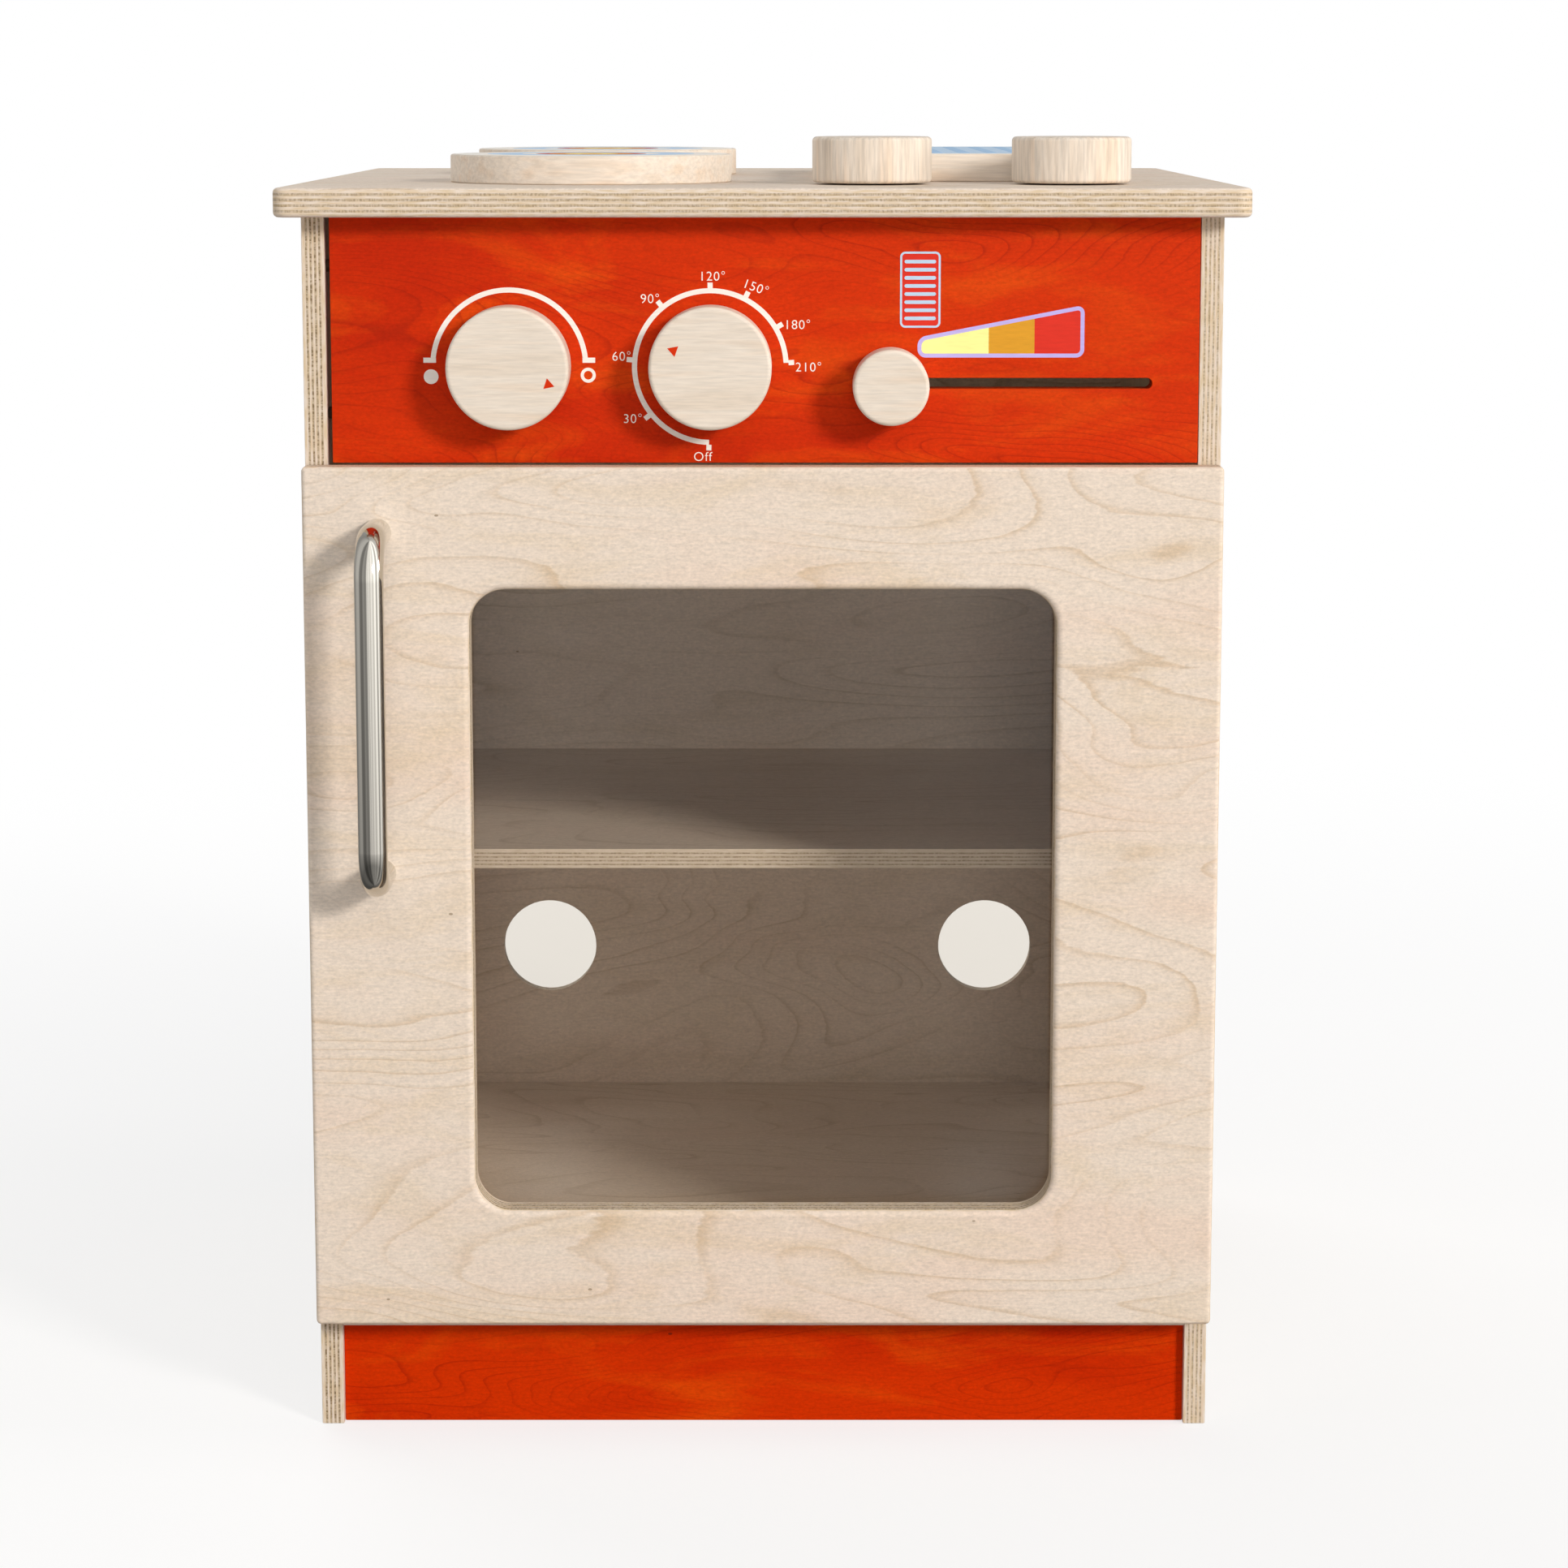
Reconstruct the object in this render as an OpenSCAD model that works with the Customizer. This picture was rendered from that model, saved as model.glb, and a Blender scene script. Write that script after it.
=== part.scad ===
// Wooden play oven: plywood carcass, hinged door with a clear window, two front dials with a slider,
// two worktop knobs, two hob discs and a griddle plate. Millimetres, front towards -Y, standing on z = 0.

/* [Carcass] */
// Width over the two side panels
body_w = 380; // [360:5:440]
// Height of the side panels
body_h = 517; // [500:1:560]
// Depth from the front edge of the sides to the rear face of the back panel
body_d = 374; // [360:1:420]
// Thickness of a side panel
side_t = 9.5; // [9:0.5:12]
// Thickness of the back panel
back_t = 6; // [5:0.5:9]
// Thickness of the bottom panel
bottom_t = 9.5; // [9:0.5:12]
// Height of the kickboard, under the bottom panel
kick_h = 43.8; // [36:0.1:45]
// Thickness of the kickboard
kick_t = 9.5; // [9:0.5:12]
// How far the kickboard sits behind the front edge of the sides
kick_recess = 4; // [1:0.5:10]
// Thickness of the oven shelf
shelf_t = 9; // [9:0.5:12]
// Clear height between the bottom panel and the shelf
shelf_clear_h = 168.7; // [160:0.1:190]
// How far the shelf's front edge sits behind the front edge of the sides
shelf_recess = 105; // [60:1:130]

/* [Back holes] */
// Diameter of the two round holes in the back panel
back_hole_d = 48; // [30:1:60]
// Distance between the two holes
back_hole_pitch = 226.4; // [200:0.1:240]
// Height of the holes' centres above the bottom panel
back_hole_h = 73.4; // [60:0.1:100]

/* [Worktop] */
// Thickness of the worktop
worktop_t = 12; // [10:1:15]
// Overhang of the worktop at each side
side_overhang = 10; // [4:1:20]
// Overhang of the worktop at the front
front_overhang = 16; // [16:1:24]
// Overhang of the worktop at the rear
rear_overhang = 10; // [2:1:20]
// Corner radius of the worktop in plan
worktop_corner_r = 6.5; // [5:0.5:12]
// Round-over on the long edges of the worktop and the door
edge_ease = 2; // [1:0.5:2.5]
// Diameter of the plugs over the worktop screws
plug_d = 8; // [7:0.5:9]
// Depth of the plugs
plug_t = 4; // [3:0.5:5]
// Distance of the front pair of worktop screws from the sides' front edge
plug_inset_front = 44; // [30:1:80]
// Distance of the rear pair of worktop screws from the sides' rear edge
plug_inset_rear = 48; // [30:1:80]

/* [Hob discs and griddle] */
// Diameter of a hob disc
hob_d = 122; // [100:1:130]
// Thickness of the hob discs and the griddle plate
hob_t = 12; // [12:0.5:16]
// Distance from the worktop's left edge to the hob discs' centres
hob_inset_x = 125; // [110:1:130]
// Distance from the worktop's front edge to the front hob disc's centre
hob_inset_y = 110; // [100:1:115]
// Distance between the two hob discs' centres
hob_pitch = 156; // [140:1:170]
// Width of the griddle plate
griddle_w = 129; // [110:1:134]
// Depth of the griddle plate
griddle_d = 212; // [180:1:220]
// Distance from the worktop's right edge to the griddle plate
griddle_inset_x = 47.5; // [40:0.5:52]
// Distance from the worktop's front edge to the griddle plate
griddle_inset_y = 107.6; // [102:0.1:112]
// Corner radius of the griddle plate in plan
griddle_corner_r = 3; // [2:0.5:8]
// Round-over on the edges of hob discs and griddle plate
hob_ease = 0.8; // [0.4:0.1:1.2]

/* [Control panel] */
// Height of the control panel
panel_h = 101.7; // [98:0.1:112]
// Thickness of the control panel
panel_t = 12; // [10:1:15]
// Gap between the control panel and the left side
panel_gap_left = 2; // [0.2:0.1:2.5]
// Gap between the control panel and the right side
panel_gap_right = 0.2; // [0.1:0.1:1]

/* [Knobs] */
// Diameter of the dial knobs and the worktop knobs
knob_d = 50.5; // [44:0.5:54]
// How far each knob stands proud of the panel it turns on
knob_proud = 20; // [17:0.5:24]
// Round-over on the knobs' edges
knob_ease = 1.8; // [1:0.1:3]
// Distance of the front knobs' axes below the worktop
front_knob_drop = 61.3; // [56:0.1:66]
// Distance from the control panel's left end to the power knob's axis
power_inset = 74.1; // [65:0.1:80]
// Distance between the two front knobs' axes
front_knob_pitch = 82.9; // [76:0.1:86]
// Distance from the worktop's right edge to the right worktop knob's axis
top_knob_inset_x = 69.6; // [60:0.1:80]
// Distance between the two worktop knobs' axes
top_knob_pitch = 84.4; // [70:0.1:90]
// Distance from the worktop's front edge to the worktop knobs' axes
top_knob_inset_y = 65; // [58:1:72]

/* [Knob bolts] */
// Diameter of the bolt that a knob turns on
bolt_d = 6; // [5:0.5:8]
// Diameter of the bolt's head
bolt_head_d = 11; // [10:0.5:13]
// Height of the bolt's head
bolt_head_h = 4; // [3:0.5:6]
// Across flats of the bolt's hexagon socket
bolt_socket = 4; // [3:0.5:5]
// Length of the bolt inside the knob
bolt_grip = 12; // [9:0.5:13]
// Outer diameter of the glide washer under a knob
glide_d = 20; // [16:1:26]
// Thickness of a glide washer
glide_t = 0.6; // [0.4:0.1:1]
// Outer diameter of the steel washer behind the panel
washer_d = 15; // [14:0.5:18]
// Thickness of the steel washer
washer_t = 1; // [0.8:0.1:1.6]

/* [Slider] */
// Diameter of the slider's knob
slider_knob_d = 31.3; // [26:0.1:34]
// Diameter of the slider's stem
stem_d = 3.6; // [3:0.1:4]
// Height of the slot
slot_h = 4.5; // [4.3:0.1:6]
// Length of the slot
slot_l = 111; // [90:1:115]
// Distance from the slot's right end to the control panel's right end
slot_inset = 19.2; // [18:0.1:30]
// Distance of the slot's centreline below the worktop
slot_drop = 68.7; // [60:0.1:72]
// Length of the guide block behind the panel
guide_l = 24; // [18:1:30]
// Height of the guide block
guide_h = 14; // [12:1:20]
// Thickness of the guide block
guide_t = 8; // [6:0.5:12]
// Diameter of the glide washer under the slider's knob
slider_glide_d = 12; // [10:0.5:16]
// Length of the stem inside the slider's knob
stem_grip = 10; // [7:0.5:13]
// Diameter of the stem's head
stem_head_d = 7; // [6:0.5:9]
// Height of the stem's head
stem_head_h = 2.5; // [2:0.1:4]

/* [Door] */
// Thickness of the door
door_t = 12; // [10:1:15]
// Gap between the door's back and the front edge of the sides
door_gap = 3; // [2.8:0.1:3.5]
// Height of the door's lower edge above the floor
door_bottom_z = 49; // [46:0.5:52]
// Gap between the control panel and the level of the door's top edge
door_top_gap = 0.3; // [0.2:0.1:3]
// Distance from the window opening to the door's left and right edges
window_margin_x = 68.5; // [60:0.5:80]
// Distance from the window opening to the door's top edge
window_margin_top = 51; // [48:0.5:70]
// Distance from the window opening to the door's lower edge
window_margin_bottom = 50.3; // [48:0.1:70]
// Corner radius of the window opening
window_corner_r = 15; // [8:0.5:25]
// Round-over on the front edge of the window opening
window_ease = 3; // [1:0.5:4]
// Corner radius of the window pane
pane_corner_r = 6; // [2:0.5:12]
// Thickness of the window pane
pane_t = 3; // [2:0.5:4]
// How far the pane laps over the door around the opening
pane_lap = 15; // [12:0.5:18]

/* [Handle] */
// Diameter of the handle's bar
bar_d = 12; // [10:0.5:14]
// Distance from the door to the bar's centreline
bar_standoff = 33; // [30:0.5:40]
// Distance between the two legs' axes
handle_span = 143; // [110:1:160]
// Bend radius of the bar's centreline
bar_bend_r = 16; // [14:0.5:20]
// Distance from the door's left edge to the handle
handle_inset = 30.9; // [24:0.1:36]
// Distance from the door's top edge to the upper leg's axis
handle_drop = 27.2; // [22:0.1:60]
// Diameter of the handle's screws
handle_screw_d = 5; // [4:0.5:6]
// Length of the handle's screws inside the legs
handle_screw_grip = 10; // [8:0.5:14]

/* [Hinges] */
// Length of a hinge
hinge_l = 40; // [34:1:50]
// Diameter of the hinge pin
hinge_pin_d = 1.4; // [1.2:0.1:1.5]
// Thickness of a hinge leaf
leaf_t = 0.8; // [0.6:0.1:0.9]
// Width of a hinge leaf, from the pin's axis
leaf_w = 7.8; // [7:0.1:8]
// Distance of the pin's axis inside the door's right edge
hinge_inset = 1.1; // [1:0.05:1.2]
// Distance from the door's ends to the hinges' centres
hinge_drop = 55; // [40:1:90]

/* [Door catch] */
// Width of the catch housing
catch_w = 12; // [10:0.5:16]
// Depth of the catch housing
catch_d = 16; // [14:0.5:22]
// Height of the catch housing
catch_h = 32; // [30:1:40]
// Diameter of the magnet
magnet_d = 8; // [6:0.5:8.5]
// Length of the magnet
magnet_l = 6; // [4:0.5:8]
// Thickness of the strike plate
strike_t = 1; // [0.8:0.1:1.4]
// Height of the strike plate
strike_h = 30; // [28:1:36]
// Width of the strike plate
strike_w = 10; // [9:0.5:13]
// Distance from the door's top edge to the catch's centre
catch_drop = 99; // [60:1:150]

/* [Fixings] */
// Diameter of the wood screws
screw_d = 3; // [2.5:0.1:3.5]
// Head diameter of the wood screws
screw_head_d = 6; // [5.5:0.1:6.5]
// Length of the wood screws through the back panel
back_screw_l = 22; // [18:1:30]
// Length of the worktop screws
worktop_screw_l = 28; // [24:1:36]
// Diameter of the hinge and strike plate screws
small_screw_d = 2; // [1.6:0.1:2.2]
// Head diameter of the hinge and strike plate screws
small_screw_head_d = 3.8; // [3.4:0.1:4]
// Length of the hinge and strike plate screws
small_screw_l = 9; // [7:0.5:10]
// Diameter of the pane screws
pane_screw_d = 2.5; // [2:0.1:3]
// Head diameter of the pane screws
pane_screw_head_d = 5.5; // [5:0.1:6]
// Height of the pane screws' heads
pane_screw_head_h = 1.8; // [1.4:0.1:2.4]
// Length of the pane screws inside the door
pane_screw_grip = 7; // [5:0.5:8]
// Diameter of the dowels
dowel_d = 5; // [4:0.5:5.5]
// Length of the dowels
dowel_l = 24; // [18:1:28]
// Wood left outside a dowel in a side panel
dowel_cover = 3; // [2.5:0.5:5]

/* [Clearances] */
// Radial clearance of a knob bolt in its bore, and of a hinge pin in its knuckle
turn_fit = 0.05; // [0.03:0.01:0.08]
// Radial clearance round a screw, dowel, plug or magnet in its hole
seat_fit = 0.05; // [0.02:0.01:0.1]
// Clearance at the blind end of a hole
end_fit = 0.3; // [0.2:0.1:0.6]
// Clearance between two flat faces that slide on each other
slide_fit = 0.1; // [0.05:0.05:0.2]
// Clearance between the magnet and the strike plate, and between hinge knuckles
rest_fit = 0.3; // [0.2:0.05:0.4]

/* [Hidden] */
$fn = 64;
// Overshoot of a cut past the face that it starts from
past = 1;

// Levels and planes. The origin is the middle of the overall box, on the floor.
worktop_w = body_w + 2 * side_overhang;
worktop_d = front_overhang + body_d + rear_overhang;
handle_reach = door_gap + door_t + bar_standoff + bar_d / 2 - front_overhang;
overall_d = worktop_d + handle_reach;
worktop_y = handle_reach - overall_d / 2;
front_y = worktop_y + front_overhang;
back_y = front_y + body_d - back_t;
door_back_y = front_y - door_gap;
inner_w = body_w - 2 * side_t;
worktop_z = body_h + worktop_t;
bottom_z = kick_h + bottom_t;
shelf_z = bottom_z + shelf_clear_h + shelf_t;
panel_z = body_h - panel_h;
door_top_z = panel_z - door_top_gap;
door_h = door_top_z - door_bottom_z;

// Window opening and pane
window_w = body_w - 2 * window_margin_x;
window_h = door_h - window_margin_top - window_margin_bottom;
window_z = door_bottom_z + window_margin_bottom + window_h / 2;
pane_w = window_w + 2 * pane_lap;
pane_h = window_h + 2 * pane_lap;

// Control panel and what works through it
panel_left_x = -inner_w / 2 + panel_gap_left;
panel_right_x = inner_w / 2 - panel_gap_right;
front_knob_z = body_h - front_knob_drop;
power_x = panel_left_x + power_inset;
temperature_x = power_x + front_knob_pitch;
slot_z = body_h - slot_drop;
slot_end_x = panel_right_x - slot_inset;
slot_start_x = slot_end_x - slot_l;
stem_x = slot_start_x + slot_h / 2 + end_fit;
stem_z = slot_z - slot_h / 2 + stem_d / 2 + turn_fit;
knob_back = glide_t + slide_fit;
guide_back = panel_t + end_fit + guide_t;

// Worktop fittings
hob_x = hob_inset_x - worktop_w / 2;
hob_front_y = worktop_y + hob_inset_y;
hob_rear_y = hob_front_y + hob_pitch;
griddle_x = worktop_w / 2 - griddle_inset_x - griddle_w / 2;
griddle_y = worktop_y + griddle_inset_y + griddle_d / 2;
top_knob_right_x = worktop_w / 2 - top_knob_inset_x;
top_knob_left_x = top_knob_right_x - top_knob_pitch;
top_knob_y = worktop_y + top_knob_inset_y;
hob_screw_pitch = hob_d / 2;
griddle_screw_pitch_x = griddle_w * 0.6;
griddle_screw_pitch_y = griddle_d * 0.7;
hob_screw_l = worktop_t + hob_t * 2 / 3;

// Handle, hinges and catch
handle_x = handle_inset - body_w / 2;
handle_top_z = door_top_z - handle_drop;
handle_z = handle_top_z - handle_span / 2;
handle_screw_head_d = 2 * handle_screw_d;
handle_screw_head_h = 0.5 * handle_screw_d;
hinge_x = body_w / 2 - hinge_inset;
hinge_y = front_y - door_gap / 2;
knuckle_d = door_gap - 2 * slide_fit;
hinge_upper_z = door_top_z - hinge_drop;
hinge_lower_z = door_bottom_z + hinge_drop;
knuckle_l = (hinge_l - 2 * rest_fit) / 3;
leaf_clear_r = knuckle_d / 2 + rest_fit;
leaf_screw_x = hinge_x - leaf_w / 2 - leaf_clear_r / 2;
leaf_screw_pitch = hinge_l * 0.55;
catch_z = door_top_z - catch_drop;
catch_x = -inner_w / 2 + catch_w / 2;
catch_y = door_back_y + strike_t + rest_fit;
catch_screw_pitch = (catch_h + magnet_d) / 2;
catch_screw_l = catch_w + side_t * 0.6;
strike_screw_pitch = (strike_h + magnet_d) / 2;

// Where the dowels sit: [y, z] of each, the same at both ends of a panel
dowel_inset = 50;
shelf_y = front_y + shelf_recess;
bottom_dowels = [
    for (y = [front_y + dowel_inset, back_y - dowel_inset]) [y, bottom_z - bottom_t / 2]
];
shelf_dowels = [
    for (y = [shelf_y + dowel_inset, back_y - dowel_inset]) [y, shelf_z - shelf_t / 2]
];
kick_dowels = [for (k = [0.28, 0.72]) [front_y + kick_recess + kick_t / 2, kick_h * k]];
panel_dowel_spots = [for (k = [0.2, 0.8]) [front_y + panel_t / 2, panel_z + panel_h * k]];
dowel_spots = concat(bottom_dowels, shelf_dowels, kick_dowels, panel_dowel_spots);

// Where the worktop and back screws sit
plug_x = (body_w - side_t) / 2;
plug_ys = [front_y + plug_inset_front, back_y - plug_inset_rear];
back_screw_inset = 60;
back_screw_zs = [
    for (k = [0:2]) back_screw_inset + k * (body_h - 2 * back_screw_inset) / 2
];
back_screw_spots = concat(
    [for (s = [-1, 1], z = back_screw_zs) [s * plug_x, z]],
    [for (s = [-1, 1]) [s * body_w / 5, bottom_z - bottom_t / 2]],
    [for (s = [-1, 1]) [s * body_w / 5, shelf_z - shelf_t / 2]]
);

birch = "#E7D8C8";
red_stain = "#D73C14";
steel = "#B9BBBD";
zinc = "#C9CBCD";
felt = "#6B6058";
clear_plastic = "#CFD8D2";

// Rectangle with rounded corners, centred
module rounded_rect(w, h, r) {
    square([w - 2 * r, h], center = true);
    square([w, h - 2 * r], center = true);
    for (x = [-1, 1], y = [-1, 1])
        translate([x * (w / 2 - r), y * (h / 2 - r)]) circle(r);
}

// Plate on z = 0, centred in plan, with plan corners of radius r and its edges rounded by ease
module eased_plate(w, h, t, r, ease) {
    intersection() {
        linear_extrude(t) rounded_rect(w, h, r);
        translate([0, 0, t / 2]) rotate([90, 0, 0])
            linear_extrude(h + past, center = true) rounded_rect(w, t, ease);
        translate([0, 0, t / 2]) rotate([90, 0, 90])
            linear_extrude(w + past, center = true) rounded_rect(h, t, ease);
    }
}

// Disc between two levels, with its rims rounded by ease
module eased_disc(d, z0, z1, ease) {
    rotate_extrude() intersection() {
        translate([0, z0]) square([d / 2, z1 - z0]);
        translate([0, (z0 + z1) / 2]) rounded_rect(d, z1 - z0, ease);
    }
}

// Plain cylinder from z0 up to z1
module rod(d, z0, z1) {
    translate([0, 0, z0]) cylinder(h = z1 - z0, d = d);
}

// Box from x0 to x1, y0 to y1 and z0 to z1
module box(x0, x1, y0, y1, z0, z1) {
    translate([x0, y0, z0]) cube([x1 - x0, y1 - y0, z1 - z0]);
}

// Cross recess in a screw's head, its mouth at z = 0
module cross_recess(head_d, depth) {
    arm = 0.3 * head_d;
    slit = 0.07 * head_d;
    for (a = [0, 90]) rotate([0, 0, a]) box(-arm, arm, -slit, slit, -depth, past);
}

// Countersunk screw down from z = 0, where its head is flush
module flush_screw(d, l, head_d) {
    head_h = (head_d - d) / 2;
    difference() {
        union() {
            translate([0, 0, -head_h]) cylinder(h = head_h, d1 = d, d2 = head_d);
            rod(d, d - l, -head_h / 2);
            translate([0, 0, -l]) cylinder(h = d, d1 = d / 4, d2 = d);
        }
        cross_recess(head_d, head_h * 0.7);
    }
}

// Hole for a countersunk screw
module flush_hole(d, l, head_d) {
    head_h = (head_d - d) / 2;
    translate([0, 0, -head_h])
        cylinder(h = head_h, d1 = d + 2 * seat_fit, d2 = head_d + 2 * seat_fit);
    rod(head_d + 2 * seat_fit, 0, past);
    rod(d + 2 * seat_fit, -l - end_fit, 0);
}

// Screw down from z = 0, its round head standing on z = 0
module round_screw(d, l, head_d, head_h) {
    difference() {
        union() {
            eased_disc(head_d, 0, head_h, head_h / 3);
            rod(d, -l, head_h / 2);
        }
        translate([0, 0, head_h]) cross_recess(head_d, head_h * 0.6);
    }
}

// Hole for the shank of such a screw
module round_hole(d, l) {
    rod(d + 2 * seat_fit, -l - end_fit, past);
}

// Places shapes on the control panel's front, their +z outwards
module on_front(x, z) {
    translate([x, front_y, z]) rotate([90, 0, 0]) children();
}

// Places shapes on the worktop
module on_top(x, y) {
    translate([x, y, worktop_z]) children();
}

// Places shapes on the door's back face, their +z towards the door's front
module on_door(x, z) {
    translate([x, door_back_y, z]) rotate([90, 0, 0]) children();
}

// Places the dowels or their holes, +z pointing into the carcass
module at_dowels(spots) {
    for (s = [-1, 1], p = spots)
        translate([s * (body_w / 2 - dowel_cover), p[0], p[1]]) rotate([0, -90 * s, 0]) children();
}

module dowel_holes(spots) {
    at_dowels(spots) rod(dowel_d + 2 * seat_fit, -end_fit, dowel_l + end_fit);
}

module at_worktop_screws() {
    for (s = [-1, 1], y = plug_ys) translate([s * plug_x, y, worktop_z - plug_t]) children();
}

module worktop_screw_holes() {
    at_worktop_screws() flush_hole(screw_d, worktop_screw_l, screw_head_d);
}

module at_back_screws() {
    for (p = back_screw_spots)
        translate([p[0], back_y + back_t, p[1]]) rotate([-90, 0, 0]) children();
}

module back_screw_holes() {
    at_back_screws() flush_hole(screw_d, back_screw_l, screw_head_d);
}

// Places the screws that hold the hob discs and the griddle plate, +z down out of the worktop
module at_hob_screws() {
    for (s = [-1, 1], y = [hob_front_y, hob_rear_y])
        translate([hob_x + s * hob_screw_pitch / 2, y, body_h]) rotate([180, 0, 0]) children();
    for (s = [-1, 1], t = [-1, 1])
        translate([griddle_x + s * griddle_screw_pitch_x / 2, griddle_y, body_h])
            translate([0, t * griddle_screw_pitch_y / 2, 0]) rotate([180, 0, 0]) children();
}

module hob_screw_holes() {
    at_hob_screws() flush_hole(screw_d, hob_screw_l, screw_head_d);
}

module at_front_knobs() {
    for (x = [power_x, temperature_x]) on_front(x, front_knob_z) children();
}

module at_top_knobs() {
    for (x = [top_knob_left_x, top_knob_right_x]) on_top(x, top_knob_y) children();
}

// Places the screws of the frame leaves, +z towards the door
module at_hinge_frame_screws() {
    for (z = [hinge_upper_z, hinge_lower_z], s = [-1, 1])
        translate([leaf_screw_x, front_y - leaf_t, z + s * leaf_screw_pitch / 2])
            rotate([90, 0, 0]) children();
}

// Places the screws of the door leaves, +z away from the door
module at_hinge_door_screws() {
    for (z = [hinge_upper_z, hinge_lower_z], s = [-1, 1])
        translate([leaf_screw_x, door_back_y + leaf_t, z + s * leaf_screw_pitch / 2])
            rotate([-90, 0, 0]) children();
}

module at_catch_screws() {
    for (s = [-1, 1])
        translate([catch_w - inner_w / 2, catch_y + catch_d / 2, catch_z + s * catch_screw_pitch / 2])
            rotate([0, 90, 0]) children();
}

module at_strike_screws() {
    for (s = [-1, 1])
        translate([catch_x, door_back_y + strike_t, catch_z + s * strike_screw_pitch / 2])
            rotate([-90, 0, 0]) children();
}

module at_handle_screws() {
    for (s = [-1, 1]) on_door(handle_x, handle_z + s * handle_span / 2) rotate([180, 0, 0]) children();
}

// Places the pane screws round the opening: the four corners and the middle of each edge
module at_pane_screws() {
    for (i = [-1:1], j = [-1:1])
        if (i != 0 || j != 0)
            on_door(i * (pane_w - pane_lap) / 2, window_z + j * (pane_h - pane_lap) / 2)
                translate([0, 0, -pane_t]) rotate([180, 0, 0]) children();
}

module small_hole() {
    flush_hole(small_screw_d, small_screw_l, small_screw_head_d);
}

module small_screw() {
    flush_screw(small_screw_d, small_screw_l, small_screw_head_d);
}

module worktop() color(birch) difference() {
    translate([0, worktop_y + worktop_d / 2, body_h])
        eased_plate(worktop_w, worktop_d, worktop_t, worktop_corner_r, edge_ease);
    worktop_screw_holes();
    at_worktop_screws() rod(plug_d + 2 * seat_fit, 0, plug_t + past);
    hob_screw_holes();
    at_top_knobs() rod(bolt_d + 2 * turn_fit, -worktop_t - past, past);
}

module side_panel(s) color(birch) difference() {
    box(min(s * body_w, s * inner_w) / 2, max(s * body_w, s * inner_w) / 2, front_y, back_y, 0, body_h);
    dowel_holes(dowel_spots);
    worktop_screw_holes();
    back_screw_holes();
    if (s < 0) at_catch_screws() flush_hole(screw_d, catch_screw_l, screw_head_d);
    if (s > 0) at_hinge_frame_screws() small_hole();
}

module side_panel_left() side_panel(-1);

module side_panel_right() side_panel(1);

module bottom_panel() color(birch) difference() {
    box(-inner_w / 2, inner_w / 2, front_y, back_y, kick_h, bottom_z);
    dowel_holes(bottom_dowels);
    back_screw_holes();
}

module oven_shelf() color(birch) difference() {
    box(-inner_w / 2, inner_w / 2, shelf_y, back_y, shelf_z - shelf_t, shelf_z);
    dowel_holes(shelf_dowels);
    back_screw_holes();
}

module back_panel() color(birch) difference() {
    box(-body_w / 2, body_w / 2, back_y, back_y + back_t, 0, body_h);
    for (s = [-1, 1])
        translate([s * back_hole_pitch / 2, back_y, bottom_z + back_hole_h]) rotate([-90, 0, 0])
            rod(back_hole_d, -past, back_t + past);
    back_screw_holes();
}

module control_panel() color(red_stain) difference() {
    box(panel_left_x, panel_right_x, front_y, front_y + panel_t, panel_z, body_h);
    at_front_knobs() rod(bolt_d + 2 * turn_fit, -panel_t - past, past);
    on_front((slot_start_x + slot_end_x) / 2, slot_z) translate([0, 0, -panel_t - past])
        linear_extrude(panel_t + 2 * past) slot_outline();
    dowel_holes(panel_dowel_spots);
}

module slot_outline() {
    square([slot_l - slot_h, slot_h], center = true);
    for (s = [-1, 1]) translate([s * (slot_l - slot_h) / 2, 0]) circle(d = slot_h);
}

module kickboard() color(red_stain) difference() {
    box(-inner_w / 2, inner_w / 2, front_y + kick_recess, front_y + kick_recess + kick_t, 0, kick_h);
    dowel_holes(kick_dowels);
}

module panel_dowels() color(birch) at_dowels(dowel_spots) rod(dowel_d, 0, dowel_l);

module worktop_screws() color(zinc) at_worktop_screws()
    flush_screw(screw_d, worktop_screw_l, screw_head_d);

module worktop_plugs() color(birch) at_worktop_screws() rod(plug_d, seat_fit, plug_t);

module back_screws() color(zinc) at_back_screws() flush_screw(screw_d, back_screw_l, screw_head_d);

module hob_screws() color(zinc) at_hob_screws() flush_screw(screw_d, hob_screw_l, screw_head_d);

module hob_disc(y) color(birch) difference() {
    on_top(hob_x, y) eased_disc(hob_d, 0, hob_t, hob_ease);
    hob_screw_holes();
}

module hob_disc_front() hob_disc(hob_front_y);

module hob_disc_rear() hob_disc(hob_rear_y);

module griddle_plate() color(birch) difference() {
    on_top(griddle_x, griddle_y) eased_plate(griddle_w, griddle_d, hob_t, griddle_corner_r, hob_ease);
    hob_screw_holes();
}

// Flat washer between two levels
module washer(d, bore_d, z0, z1) {
    difference() {
        rod(d, z0, z1);
        rod(bore_d + 2 * turn_fit, z0 - past, z1 + past);
    }
}

module glide_washers() color(felt) {
    at_front_knobs() washer(glide_d, bolt_d, 0, glide_t);
    at_top_knobs() washer(glide_d, bolt_d, 0, glide_t);
}

module bolt_washers() color(zinc) {
    at_front_knobs() washer(washer_d, bolt_d, -panel_t - washer_t, -panel_t);
    at_top_knobs() washer(washer_d, bolt_d, -worktop_t - washer_t, -worktop_t);
}

// Knob that stands on a panel whose face is z = 0
module turning_knob() color(birch) difference() {
    eased_disc(knob_d, knob_back, knob_proud, knob_ease);
    rod(bolt_d + 2 * seat_fit, knob_back - past, knob_back + bolt_grip + end_fit);
}

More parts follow.
